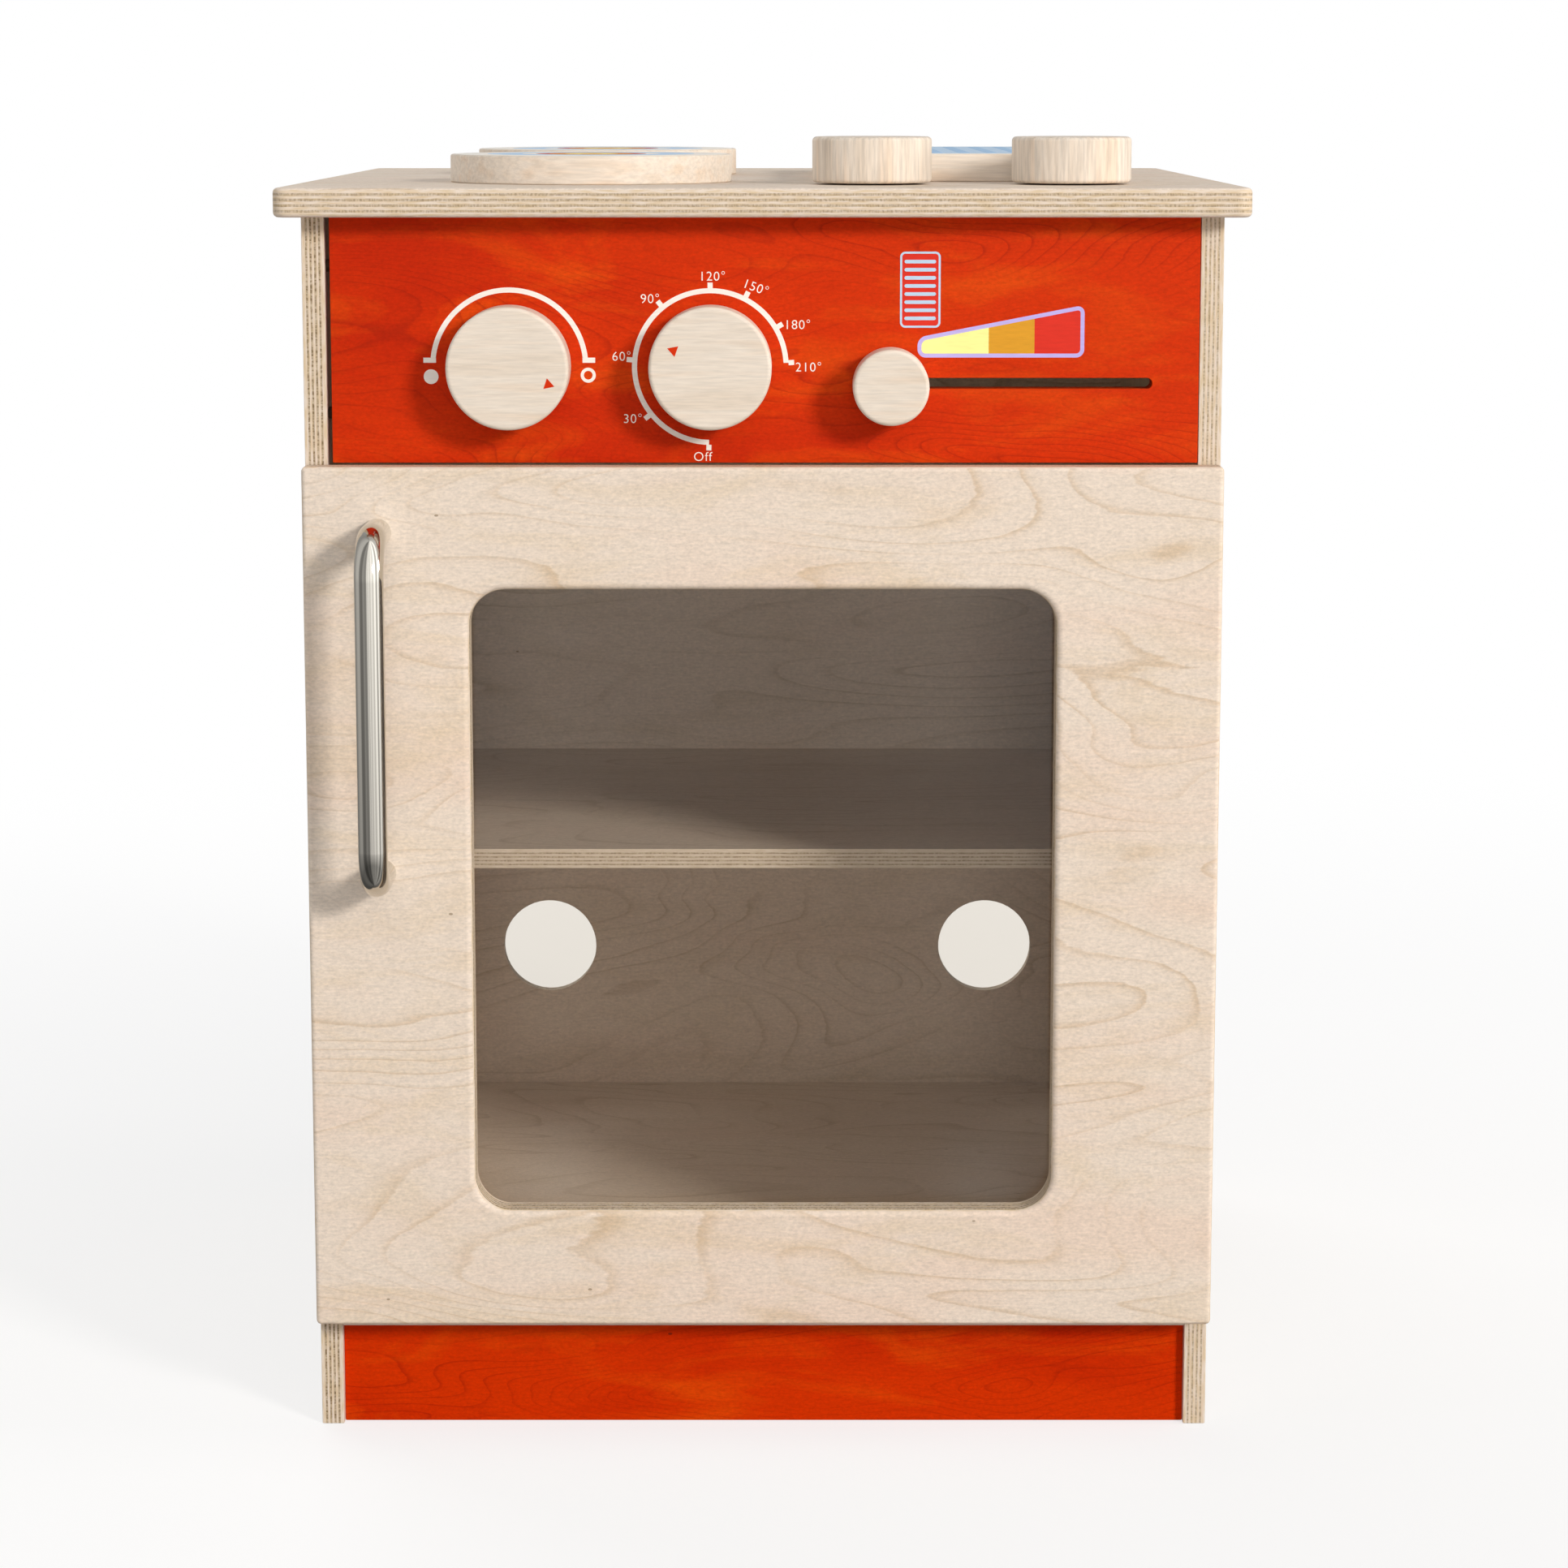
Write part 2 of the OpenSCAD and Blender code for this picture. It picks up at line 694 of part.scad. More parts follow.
// Bolt from behind a panel of the given thickness, through both washers and into the knob
module knob_bolt(panel) color(zinc) {
    seat = -panel - washer_t - slide_fit;
    difference() {
        union() {
            rod(bolt_head_d, seat - bolt_head_h, seat);
            rod(bolt_d, seat - bolt_head_h / 2, knob_back + bolt_grip);
        }
        translate([0, 0, seat - bolt_head_h - past])
            cylinder(h = bolt_head_h / 2 + past, d = bolt_socket / cos(30), $fn = 6);
    }
}

module power_knob() on_front(power_x, front_knob_z) turning_knob();

module power_bolt() on_front(power_x, front_knob_z) knob_bolt(panel_t);

module temperature_knob() on_front(temperature_x, front_knob_z) turning_knob();

module temperature_bolt() on_front(temperature_x, front_knob_z) knob_bolt(panel_t);

module hob_knob_left() on_top(top_knob_left_x, top_knob_y) turning_knob();

module hob_bolt_left() on_top(top_knob_left_x, top_knob_y) knob_bolt(worktop_t);

module hob_knob_right() on_top(top_knob_right_x, top_knob_y) turning_knob();

module hob_bolt_right() on_top(top_knob_right_x, top_knob_y) knob_bolt(worktop_t);

module slider_knob() color(birch) on_front(stem_x, stem_z) difference() {
    eased_disc(slider_knob_d, knob_back, knob_proud, knob_ease);
    rod(stem_d + 2 * seat_fit, knob_back - past, knob_back + stem_grip + end_fit);
}

module slider_stem() color(zinc) on_front(stem_x, stem_z) {
    rod(stem_d, -guide_back, knob_back + stem_grip);
    rod(stem_head_d, -guide_back - stem_head_h, -guide_back);
}

module slider_glide() color(felt) on_front(stem_x, stem_z)
    washer(slider_glide_d, stem_d, slide_fit, knob_back);

module slider_guide() color(birch) on_front(stem_x, stem_z) difference() {
    box(-guide_l / 2, guide_l / 2, -guide_h / 2, guide_h / 2, -guide_back, guide_t - guide_back);
    rod(stem_d + 2 * seat_fit, -guide_back - past, past);
}

// Profile left off between a wall at x = 0 and a face at y = 0 by a round-over of radius r
module round_over_profile(r) {
    difference() {
        translate([-past, -r]) square([r + past, r + past]);
        translate([r, -r]) circle(r);
    }
}

// What a round-over of the window opening's front edge takes away, the door's front face at z = 0
module window_round_over() {
    r = window_corner_r;
    for (s = [-1, 1]) {
        translate([s * window_w / 2, 0, 0]) rotate([90, 0, 0])
            linear_extrude(window_h - 2 * r, center = true) scale([s, 1]) round_over_profile(window_ease);
        translate([0, s * window_h / 2, 0]) rotate([90, 0, 90])
            linear_extrude(window_w - 2 * r, center = true) scale([s, 1]) round_over_profile(window_ease);
    }
    for (a = [0:3]) {
        x = (a == 0 || a == 3 ? 1 : -1) * (window_w / 2 - r);
        y = (a < 2 ? 1 : -1) * (window_h / 2 - r);
        translate([x, y, 0]) rotate([0, 0, 90 * a])
            rotate_extrude(angle = 90) translate([r, 0]) round_over_profile(window_ease);
    }
}

module door_panel() color(birch) difference() {
    on_door(0, (door_bottom_z + door_top_z) / 2)
        eased_plate(body_w, door_h, door_t, edge_ease, edge_ease);
    on_door(0, window_z) {
        translate([0, 0, -past]) linear_extrude(door_t + 2 * past)
            rounded_rect(window_w, window_h, window_corner_r);
        translate([0, 0, door_t]) window_round_over();
    }
    at_pane_screws() round_hole(pane_screw_d, pane_t + pane_screw_grip);
    at_handle_screws() round_hole(handle_screw_d, door_t + past);
    at_hinge_door_screws() small_hole();
    at_strike_screws() small_hole();
}

module window_pane() color(clear_plastic) difference() {
    on_door(0, window_z) translate([0, 0, -pane_t])
        linear_extrude(pane_t) rounded_rect(pane_w, pane_h, pane_corner_r);
    at_pane_screws() round_hole(pane_screw_d, pane_t + pane_screw_grip);
}

module pane_screws() color(zinc) at_pane_screws()
    round_screw(pane_screw_d, pane_t + pane_screw_grip, pane_screw_head_d, pane_screw_head_h);

module handle_half() {
    leg_l = bar_standoff - bar_bend_r;
    rod(bar_d, 0, leg_l);
    translate([0, -bar_bend_r, leg_l]) rotate([90, 0, 90])
        rotate_extrude(angle = 90) translate([bar_bend_r, 0]) circle(d = bar_d);
    translate([0, -bar_bend_r, bar_standoff]) rotate([90, 0, 0])
        rod(bar_d, 0, handle_span / 2 - bar_bend_r);
}

module door_handle() color(steel) difference() {
    on_door(handle_x, handle_z) translate([0, 0, door_t]) {
        translate([0, handle_span / 2, 0]) handle_half();
        mirror([0, 1, 0]) translate([0, handle_span / 2, 0]) handle_half();
    }
    at_handle_screws() round_hole(handle_screw_d, door_t + handle_screw_grip);
}

module handle_screws() color(zinc) at_handle_screws()
    round_screw(handle_screw_d, door_t + handle_screw_grip, handle_screw_head_d, handle_screw_head_h);

// Leaf screwed to the side panel, with the outer two knuckles
module hinge_frame_leaf(z0) color(steel) difference() {
    notch_l = knuckle_l + 2 * rest_fit;
    translate([hinge_x, hinge_y, z0]) difference() {
        union() {
            box(-leaf_w, 0, door_gap / 2 - leaf_t, door_gap / 2, -hinge_l / 2, hinge_l / 2);
            for (s = [-1, 1])
                translate([0, 0, s * (hinge_l - knuckle_l) / 2])
                    cylinder(h = knuckle_l, d = knuckle_d, center = true);
        }
        translate([0, 0, -notch_l / 2]) box(-leaf_clear_r, past, -past, door_gap, 0, notch_l);
        rod(hinge_pin_d + 2 * turn_fit, -hinge_l / 2 - past, hinge_l / 2 + past);
    }
    at_hinge_frame_screws() small_hole();
}

// Leaf screwed to the door, with the middle knuckle
module hinge_door_leaf(z0) color(steel) difference() {
    translate([hinge_x, hinge_y, z0]) difference() {
        union() {
            box(-leaf_w, -leaf_clear_r, -door_gap / 2, leaf_t - door_gap / 2, -hinge_l / 2, hinge_l / 2);
            box(-leaf_w, 0, -door_gap / 2, leaf_t - door_gap / 2, -knuckle_l / 2, knuckle_l / 2);
            cylinder(h = knuckle_l, d = knuckle_d, center = true);
        }
        rod(hinge_pin_d + 2 * turn_fit, -hinge_l / 2, hinge_l / 2);
    }
    at_hinge_door_screws() small_hole();
}

// Pin with a flat head at each end
module hinge_pin(z0) color(steel) translate([hinge_x, hinge_y, z0]) {
    rod(hinge_pin_d, -hinge_l / 2, hinge_l / 2);
    for (s = [-1, 1])
        translate([0, 0, s * (hinge_l + leaf_t) / 2])
            cylinder(h = leaf_t, d = knuckle_d - leaf_t, center = true);
}

module upper_hinge_frame_leaf() hinge_frame_leaf(hinge_upper_z);

module lower_hinge_frame_leaf() hinge_frame_leaf(hinge_lower_z);

module upper_hinge_door_leaf() hinge_door_leaf(hinge_upper_z);

module lower_hinge_door_leaf() hinge_door_leaf(hinge_lower_z);

module upper_hinge_pin() hinge_pin(hinge_upper_z);

module lower_hinge_pin() hinge_pin(hinge_lower_z);

module hinge_frame_screws() color(zinc) at_hinge_frame_screws() small_screw();

module hinge_door_screws() color(zinc) at_hinge_door_screws() small_screw();

module catch_housing() color(felt) difference() {
    box(-inner_w / 2, catch_w - inner_w / 2, catch_y, catch_y + catch_d,
        catch_z - catch_h / 2, catch_z + catch_h / 2);
    translate([catch_x, catch_y, catch_z]) rotate([-90, 0, 0])
        rod(magnet_d + 2 * seat_fit, -past, magnet_l + seat_fit);
    at_catch_screws() flush_hole(screw_d, catch_screw_l, screw_head_d);
}

module catch_magnet() color(steel) translate([catch_x, catch_y, catch_z]) rotate([-90, 0, 0])
    rod(magnet_d, 0, magnet_l);

module catch_screws() color(zinc) at_catch_screws() flush_screw(screw_d, catch_screw_l, screw_head_d);

module strike_plate() color(steel) difference() {
    box(catch_x - strike_w / 2, catch_x + strike_w / 2, door_back_y, door_back_y + strike_t,
        catch_z - strike_h / 2, catch_z + strike_h / 2);
    at_strike_screws() small_hole();
}

module strike_screws() color(zinc) at_strike_screws() small_screw();

worktop();
side_panel_left();
side_panel_right();
bottom_panel();
back_panel();
oven_shelf();
control_panel();
kickboard();
panel_dowels();
worktop_screws();
worktop_plugs();
back_screws();
hob_disc_front();
hob_disc_rear();
griddle_plate();
hob_screws();
glide_washers();
bolt_washers();
upper_hinge_frame_leaf();
lower_hinge_frame_leaf();
upper_hinge_pin();
lower_hinge_pin();
hinge_frame_screws();
catch_housing();
catch_magnet();
catch_screws();
door_panel();
window_pane();
pane_screws();
door_handle();
handle_screws();
upper_hinge_door_leaf();
lower_hinge_door_leaf();
hinge_door_screws();
strike_plate();
strike_screws();
power_knob();
power_bolt();
temperature_knob();
temperature_bolt();
hob_knob_left();
hob_bolt_left();
hob_knob_right();
hob_bolt_right();
slider_knob();
slider_stem();
slider_glide();
slider_guide();
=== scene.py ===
import math

import bmesh
import bpy
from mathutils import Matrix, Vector


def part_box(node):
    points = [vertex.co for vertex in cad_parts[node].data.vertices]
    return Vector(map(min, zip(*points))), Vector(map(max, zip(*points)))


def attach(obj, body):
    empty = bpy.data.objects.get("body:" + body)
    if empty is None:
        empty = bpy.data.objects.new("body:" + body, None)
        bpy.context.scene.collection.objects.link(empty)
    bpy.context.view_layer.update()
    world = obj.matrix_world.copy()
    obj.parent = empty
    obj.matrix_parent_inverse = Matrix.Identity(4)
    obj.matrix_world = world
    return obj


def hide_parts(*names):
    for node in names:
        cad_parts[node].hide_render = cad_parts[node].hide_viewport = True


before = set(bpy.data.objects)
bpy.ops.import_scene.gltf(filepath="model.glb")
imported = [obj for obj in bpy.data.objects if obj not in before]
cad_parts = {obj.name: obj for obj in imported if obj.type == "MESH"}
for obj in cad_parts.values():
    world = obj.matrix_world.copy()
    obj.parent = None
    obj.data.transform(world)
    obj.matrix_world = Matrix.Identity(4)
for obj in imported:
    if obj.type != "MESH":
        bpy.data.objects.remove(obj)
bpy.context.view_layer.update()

MM = 0.001
X, Y, Z = 0, 1, 2

HAIR = 0.001 * MM            # points closer than this are one
PAST = 10 * MM               # how far a cutting tool reaches past the wood
# How far printed ink stands off the wood. Real ink is thinner, but this keeps it clear of the surface
INK = 0.08 * MM


def srgb(code):
    """The linear colour of an sRGB hex value"""
    parts = [int(code[i:i + 2], 16) / 255 for i in (1, 3, 5)]
    return [c / 12.92 if c <= 0.04045 else ((c + 0.055) / 1.055) ** 2.4 for c in parts] + [1]


def size_mm(size):
    """The scale of a noise or cell pattern on metre coordinates whose features are this many mm"""
    return 1000 / size


def add(tree, kind, inputs=None, stops=None, **settings):
    """Adds a node, sets it up and links or sets its inputs, which are found by name or number"""
    made = tree.nodes.new("ShaderNode" + kind)
    for name, value in settings.items():
        setattr(made, name, value)
    for key, value in (inputs or {}).items():
        socket = made.inputs[key] if isinstance(key, int) else next(
            s for s in made.inputs if s.enabled and s.name == key)
        if isinstance(value, bpy.types.Node):
            value = next(s for s in value.outputs if s.enabled)
        if isinstance(value, bpy.types.NodeSocket):
            tree.links.new(value, socket)
        else:
            socket.default_value = value
    for i, (place, value) in enumerate(stops or []):
        ramp = made.color_ramp.elements
        stop = ramp[i] if i < 2 else ramp.new(place)
        stop.position = place
        stop.color = value if isinstance(value, list) else (value, value, value, 1)
    return made


def new_material(name):
    """An empty node material and its tree"""
    material = bpy.data.materials.new(name)
    material.use_nodes = True
    material.node_tree.nodes.clear()
    return material, material.node_tree


def show(tree, shader):
    """Links a shader to the material's output"""
    add(tree, "OutputMaterial", {"Surface": shader})


# Wood

# Face veneer, ochre patches in it, its growth lines, the crossed plies on a cut edge, their dark
# flecks, and a faint flush
BIRCH = ["#E6D7C7", "#DBC5A5", "#C4A47A", "#BFA885", "#8A7557", "#E7CCB8"]
RED = ["#CF3200", "#DE4E05", "#9A1A02", "#86260E", "#552213", "#B81E00"]
# The same birch on the boards inside, paler and greyer. The paleness is painted light that brightens
# the dim inside of the oven
PAINTED_BRIGHT_INNER_BIRCH = ["#EADDCF", "#DBCCB7", "#B8A284", "#BFA885", "#8A7557", "#E8D4C4"]


def veneer(tree, sheet, palette, rings, line_strength, patch_strength):
    """Colour and height of a rotary-cut veneer on a plane whose X is the grain, in metres"""
    pale, patch, line, flush = (srgb(palette[i]) for i in (0, 1, 2, 5))
    drawn = add(tree, "Mapping", {"Vector": sheet, "Scale": (0.27, 1, 1)})
    # Growth rings meet the flat cut as contour lines of one slow wave, some 8 to 15 mm apart
    wave = add(tree, "TexNoise", {"Vector": drawn, "Scale": size_mm(76), "Detail": 1.8,
                                  "Roughness": 0.40, "Distortion": 0.4})
    frayed = add(tree, "Mapping", {"Vector": sheet, "Scale": (0.2, 1, 1)})
    fray = add(tree, "TexNoise", {"Vector": frayed, "Scale": size_mm(2.5), "Detail": 3.0})
    fray_part = add(tree, "Math", {0: fray, 1: 0.16}, operation="MULTIPLY")
    height = add(tree, "Math", {0: wave, 1: rings, 2: fray_part}, operation="MULTIPLY_ADD")
    saw = add(tree, "Math", {0: height}, operation="FRACT")
    lines = add(tree, "ValToRGB", {"Fac": saw}, stops=[
        (0.0, 0.05), (0.5, 0.0), (0.80, 0.18), (0.93, 1.0), (0.95, 0.9), (0.98, 0.05)])
    # Lines fade in and out over some 40 mm
    fade = add(tree, "TexNoise", {"Vector": drawn, "Scale": size_mm(34), "Detail": 2.0})
    faded = add(tree, "ValToRGB", {"Fac": fade}, stops=[(0.36, 0.15), (0.60, 1.0)])
    line_mask = add(tree, "Math", {0: lines, 1: faded}, operation="MULTIPLY")
    line_part = add(tree, "Math", {0: line_mask, 1: line_strength}, operation="MULTIPLY")
    # Ochre clouds of 15 to 40 mm with frayed ends, and a wider faint flush
    cloud = add(tree, "TexNoise", {"Vector": drawn, "Scale": size_mm(26), "Detail": 6.0,
                                   "Roughness": 0.62, "Distortion": 0.7})
    clouds = add(tree, "ValToRGB", {"Fac": cloud}, stops=[(0.50, 0.0), (0.60, 0.5), (0.72, 1.0)])
    cloud_part = add(tree, "Math", {0: clouds, 1: patch_strength}, operation="MULTIPLY")
    glow = add(tree, "TexNoise", {"Vector": drawn, "Scale": size_mm(48), "Detail": 5.0,
                                  "Roughness": 0.6})
    glows = add(tree, "ValToRGB", {"Fac": glow}, stops=[(0.48, 0.0), (0.66, 0.8)])
    glow_part = add(tree, "Math", {0: glows, 1: patch_strength}, operation="MULTIPLY")
    # Short fibres and the pores' mottle, both drawn at about 1 mm, which is a little coarser than
    # real, so that they show at the picture's size
    short = add(tree, "Mapping", {"Vector": sheet, "Scale": (0.15, 1, 1)})
    fibre = add(tree, "TexNoise", {"Vector": short, "Scale": size_mm(1.0), "Detail": 3.0})
    dots = add(tree, "Mapping", {"Vector": sheet, "Scale": (0.6, 1, 1)})
    mottle = add(tree, "TexNoise", {"Vector": dots, "Scale": size_mm(1.1), "Detail": 2.0,
                                    "Roughness": 0.7})
    fibre_part = add(tree, "Math", {0: fibre, 1: 0.35}, operation="MULTIPLY")
    fine = add(tree, "Math", {0: mottle, 1: 0.65, 2: fibre_part}, operation="MULTIPLY_ADD")
    shade = add(tree, "MapRange", {"Value": fine, "From Min": 0.3, "From Max": 0.7,
                                   "To Min": 0.84, "To Max": 1.14}, clamp=False)
    colour = add(tree, "Mix", {"Factor": glow_part, "A": pale, "B": flush}, data_type="RGBA")
    colour = add(tree, "Mix", {"Factor": cloud_part, "A": colour, "B": patch}, data_type="RGBA")
    colour = add(tree, "Mix", {"Factor": line_part, "A": colour, "B": line}, data_type="RGBA")
    shaded = add(tree, "VectorMath", {0: colour, "Scale": shade}, operation="SCALE")
    return shaded, fine


def specks(tree, sheet, colour, dark):
    """Tiny dark pin knots and flecks, a few on each board"""
    drawn = add(tree, "Mapping", {"Vector": sheet, "Scale": (0.55, 1, 1)})
    cells = add(tree, "TexVoronoi", {"Vector": drawn, "Scale": size_mm(17)})
    near = add(tree, "Math", {0: cells.outputs["Distance"], 1: 0.030}, operation="LESS_THAN")
    lot = add(tree, "SeparateColor", {"Color": cells.outputs["Color"]})
    few = add(tree, "Math", {0: lot, 1: 0.62}, operation="GREATER_THAN")
    both = add(tree, "Math", {0: near, 1: few}, operation="MULTIPLY")
    part = add(tree, "Math", {0: both, 1: 0.7}, operation="MULTIPLY")
    return add(tree, "Mix", {"Factor": part, "A": colour, "B": srgb(dark)}, data_type="RGBA")


def plywood(name, node, thickness, grain, palette, seed, dark_share=0.5, rings=22, line_strength=0.46,
            patch_strength=0.55, outer_ply=0.17, dark_plies=4, contrast=1.0, gloss=0.12,
            roughness=(0.62, 0.46)):
    """Lacquered plywood: face veneer over crossed plies, which stripe every cut edge"""
    lo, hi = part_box(node)
    material, tree = new_material(name)
    coordinates = add(tree, "TexCoord")
    place = coordinates.outputs["Object"]
    axes = add(tree, "SeparateXYZ", {"Vector": place})
    across = ({X, Y, Z} - {thickness, grain}).pop()
    sheet = add(tree, "CombineXYZ", {"X": axes.outputs[grain], "Y": axes.outputs[across],
                                     "Z": 0.37 * seed})
    face, fine = veneer(tree, sheet, palette, rings, line_strength, patch_strength)
    face = specks(tree, sheet, face, palette[4])
    # A sawn edge shows plain plies, streaked every 0.8 mm along the board, in place of the figure
    squeeze = [0.12, 0.12, 0.12]
    squeeze[thickness] = 1.0
    along = add(tree, "Mapping", {"Vector": place, "Scale": squeeze})
    streak = add(tree, "TexNoise", {"Vector": along, "Scale": size_mm(0.8), "Detail": 2.0})
    plain = add(tree, "ValToRGB", {"Fac": streak},
                stops=[(0.35, srgb(palette[1])), (0.65, srgb(palette[0]))])
    normal = add(tree, "SeparateXYZ", {"Vector": coordinates.outputs["Normal"]})
    facing = add(tree, "Math", {0: normal.outputs[thickness]}, operation="ABSOLUTE")
    sawn = add(tree, "Math", {0: facing, 1: 0.6}, operation="LESS_THAN")
    face = add(tree, "Mix", {"Factor": sawn, "A": face, "B": plain}, data_type="RGBA")
    # Depth into the board, from 0 to 1, with glue lines that waver by about 0.1 mm
    depth = add(tree, "MapRange", {"Value": axes.outputs[thickness], "From Min": lo[thickness],
                                   "From Max": hi[thickness]})
    waver = add(tree, "TexNoise", {"Vector": place, "Scale": size_mm(9), "Detail": 2.0})
    wavered = add(tree, "MapRange", {"Value": waver, "To Min": -0.012, "To Max": 0.012})
    level = add(tree, "Math", {0: depth, 1: wavered}, operation="ADD")
    # Dark plies between the two face veneers, as repeats of one wave
    pitch = (1 - 2 * outer_ply) / (2 * dark_plies - 1)
    inner = add(tree, "MapRange", {"Value": level, "From Min": outer_ply,
                                   "From Max": outer_ply + 2 * pitch, "To Max": 1.0}, clamp=False)
    turn = add(tree, "Math", {0: inner}, operation="FRACT")
    dark = add(tree, "ValToRGB", {"Fac": turn},
               stops=[(0.0, 0.5), (0.05, 1.0), (dark_share - 0.05, 1.0), (dark_share + 0.03, 0.0)])
    within = add(tree, "Math", {0: level, 1: 0.5, 2: 0.5 - outer_ply}, operation="COMPARE")
    banded = add(tree, "Math", {0: dark, 1: within}, operation="MULTIPLY")
    # End grain in the dark plies: streaks 0.9 mm wide that run through each ply
    ply_squeeze = [1.0, 1.0, 1.0]
    ply_squeeze[thickness] = 0.4
    end_grain = add(tree, "Mapping", {"Vector": place, "Scale": ply_squeeze})
    fleck = add(tree, "TexNoise", {"Vector": end_grain, "Scale": size_mm(0.9), "Detail": 3.0})
    flecked = add(tree, "ValToRGB", {"Fac": fleck}, stops=[(0.36, 0.45), (0.64, 1.0)])
    band_part = add(tree, "Math", {0: banded, 1: flecked}, operation="MULTIPLY")
    band_part = add(tree, "Math", {0: band_part, 1: contrast}, operation="MULTIPLY")
    band_colour = add(tree, "Mix", {"Factor": flecked, "A": srgb(palette[3]), "B": srgb(palette[4])},
                      data_type="RGBA")
    colour = add(tree, "Mix", {"Factor": band_part, "A": face, "B": band_colour}, data_type="RGBA")
    rough = add(tree, "MapRange", {"Value": fine, "From Min": 0.3, "From Max": 0.7,
                                   "To Min": roughness[0], "To Max": roughness[1]})
    bump = add(tree, "Bump", {"Height": fine, "Distance": 0.05 * MM, "Strength": 0.5})
    show(tree, add(tree, "BsdfPrincipled", {"Base Color": colour, "Roughness": rough, "Normal": bump,
                                            "IOR": 1.5, "Specular IOR Level": gloss}))
    return material


def solid_birch(name, grain, seed, line_mm=1.3, strength=0.5, tones=("#E6D7C5", "#ECE0D1", "#E8D5C0")):
    """Turned solid birch, fine sanded: straight fibres with pale and warm streaks along the grain"""
    material, tree = new_material(name)
    place = add(tree, "TexCoord").outputs["Object"]
    squeeze = [1.0, 1.0, 1.0]
    squeeze[grain] = 0.07
    moved = add(tree, "Mapping", {"Vector": place, "Scale": squeeze, "Location": [seed * 0.31] * 3})
    streak = add(tree, "TexNoise", {"Vector": moved, "Scale": size_mm(line_mm), "Detail": 3.0,
                                    "Roughness": 0.6})
    warm = add(tree, "TexNoise", {"Vector": moved, "Scale": size_mm(7), "Detail": 2.0})
    tone = add(tree, "ValToRGB", {"Fac": warm},
               stops=[(0.32, srgb(tones[0])), (0.5, srgb(tones[1])), (0.68, srgb(tones[2]))])
    streaks = add(tree, "MapRange", {"Value": streak, "From Min": 0.62, "From Max": 0.34,
                                     "To Min": 1.0, "To Max": 1.0 - 0.28 * strength})
    colour = add(tree, "VectorMath", {0: tone, "Scale": streaks}, operation="SCALE")
    bump = add(tree, "Bump", {"Height": streak, "Distance": 0.05 * MM, "Strength": 0.4})
    show(tree, add(tree, "BsdfPrincipled", {"Base Color": colour, "Roughness": 0.5, "Normal": bump,
                                            "IOR": 1.5, "Specular IOR Level": 0.05}))
    return material


# Prints, metal, plastic and felt


def ink(name, code):
    """Screen-printed ink: flat and matt, with the wood's fibres just showing through"""
    material, tree = new_material(name)
    place = add(tree, "TexCoord").outputs["Object"]
    drawn = add(tree, "Mapping", {"Vector": place, "Scale": (0.15, 1, 1)})
    grain = add(tree, "TexNoise", {"Vector": drawn, "Scale": size_mm(0.9), "Detail": 2.0})
    shade = add(tree, "MapRange", {"Value": grain, "From Min": 0.3, "From Max": 0.7,
                                   "To Min": 0.94, "To Max": 1.03})
    colour = add(tree, "VectorMath", {0: srgb(code)[:3], "Scale": shade}, operation="SCALE")
    bump = add(tree, "Bump", {"Height": grain, "Distance": 0.02 * MM, "Strength": 0.4})
    show(tree, add(tree, "BsdfPrincipled", {"Base Color": colour, "Roughness": 0.6, "Normal": bump,
                                            "Specular IOR Level": 0.06}))
    return material


def metal(name, code, roughness, scratch_axis, streak_mm=0.4):
    """Steel or plating: colour and gloss of the metal, with fine lines left by polishing"""
    material, tree = new_material(name)
    place = add(tree, "TexCoord").outputs["Object"]
    squeeze = [1.0, 1.0, 1.0]
    squeeze[scratch_axis] = 0.04
    drawn = add(tree, "Mapping", {"Vector": place, "Scale": squeeze})
    lines = add(tree, "TexNoise", {"Vector": drawn, "Scale": size_mm(streak_mm), "Detail": 2.0})
    gloss = add(tree, "MapRange", {"Value": lines, "From Min": 0.3, "From Max": 0.7,
                                   "To Min": roughness * 0.8, "To Max": roughness * 1.25})
    bump = add(tree, "Bump", {"Height": lines, "Distance": 0.004 * MM, "Strength": 0.3})
    show(tree, add(tree, "BsdfPrincipled", {"Base Color": srgb(code), "Metallic": 1.0,
                                            "Roughness": gloss, "Normal": bump}))
    return material


def acrylic(name):
    """Clear cast acrylic: see-through, very lightly tinted, with a mirror gloss at the surface"""
    material, tree = new_material(name)
    # Both faces of the sheet mirror alike, since rays go straight through this shader
    ior = add(tree, "MapRange", {"Value": add(tree, "NewGeometry").outputs["Backfacing"],
                                 "To Min": 1.49, "To Max": 1 / 1.49})
    edge = add(tree, "Fresnel", {"IOR": ior})
    tinted = add(tree, "BsdfTransparent", {"Color": srgb("#F8F5F0")})
    # Light on its way in keeps its colour and strength, so that the oven's inside is not too dim
    let_in = add(tree, "BsdfTransparent", {"Color": srgb("#FFFFFF")})
    shadow = add(tree, "LightPath").outputs["Is Shadow Ray"]
    clear = add(tree, "MixShader", {0: shadow, 1: tinted, 2: let_in})
    gloss = add(tree, "BsdfGlossy", {"Color": srgb("#C4C4C4"), "Roughness": 0.03})
    show(tree, add(tree, "MixShader", {0: edge, 1: clear, 2: gloss}))
    return material


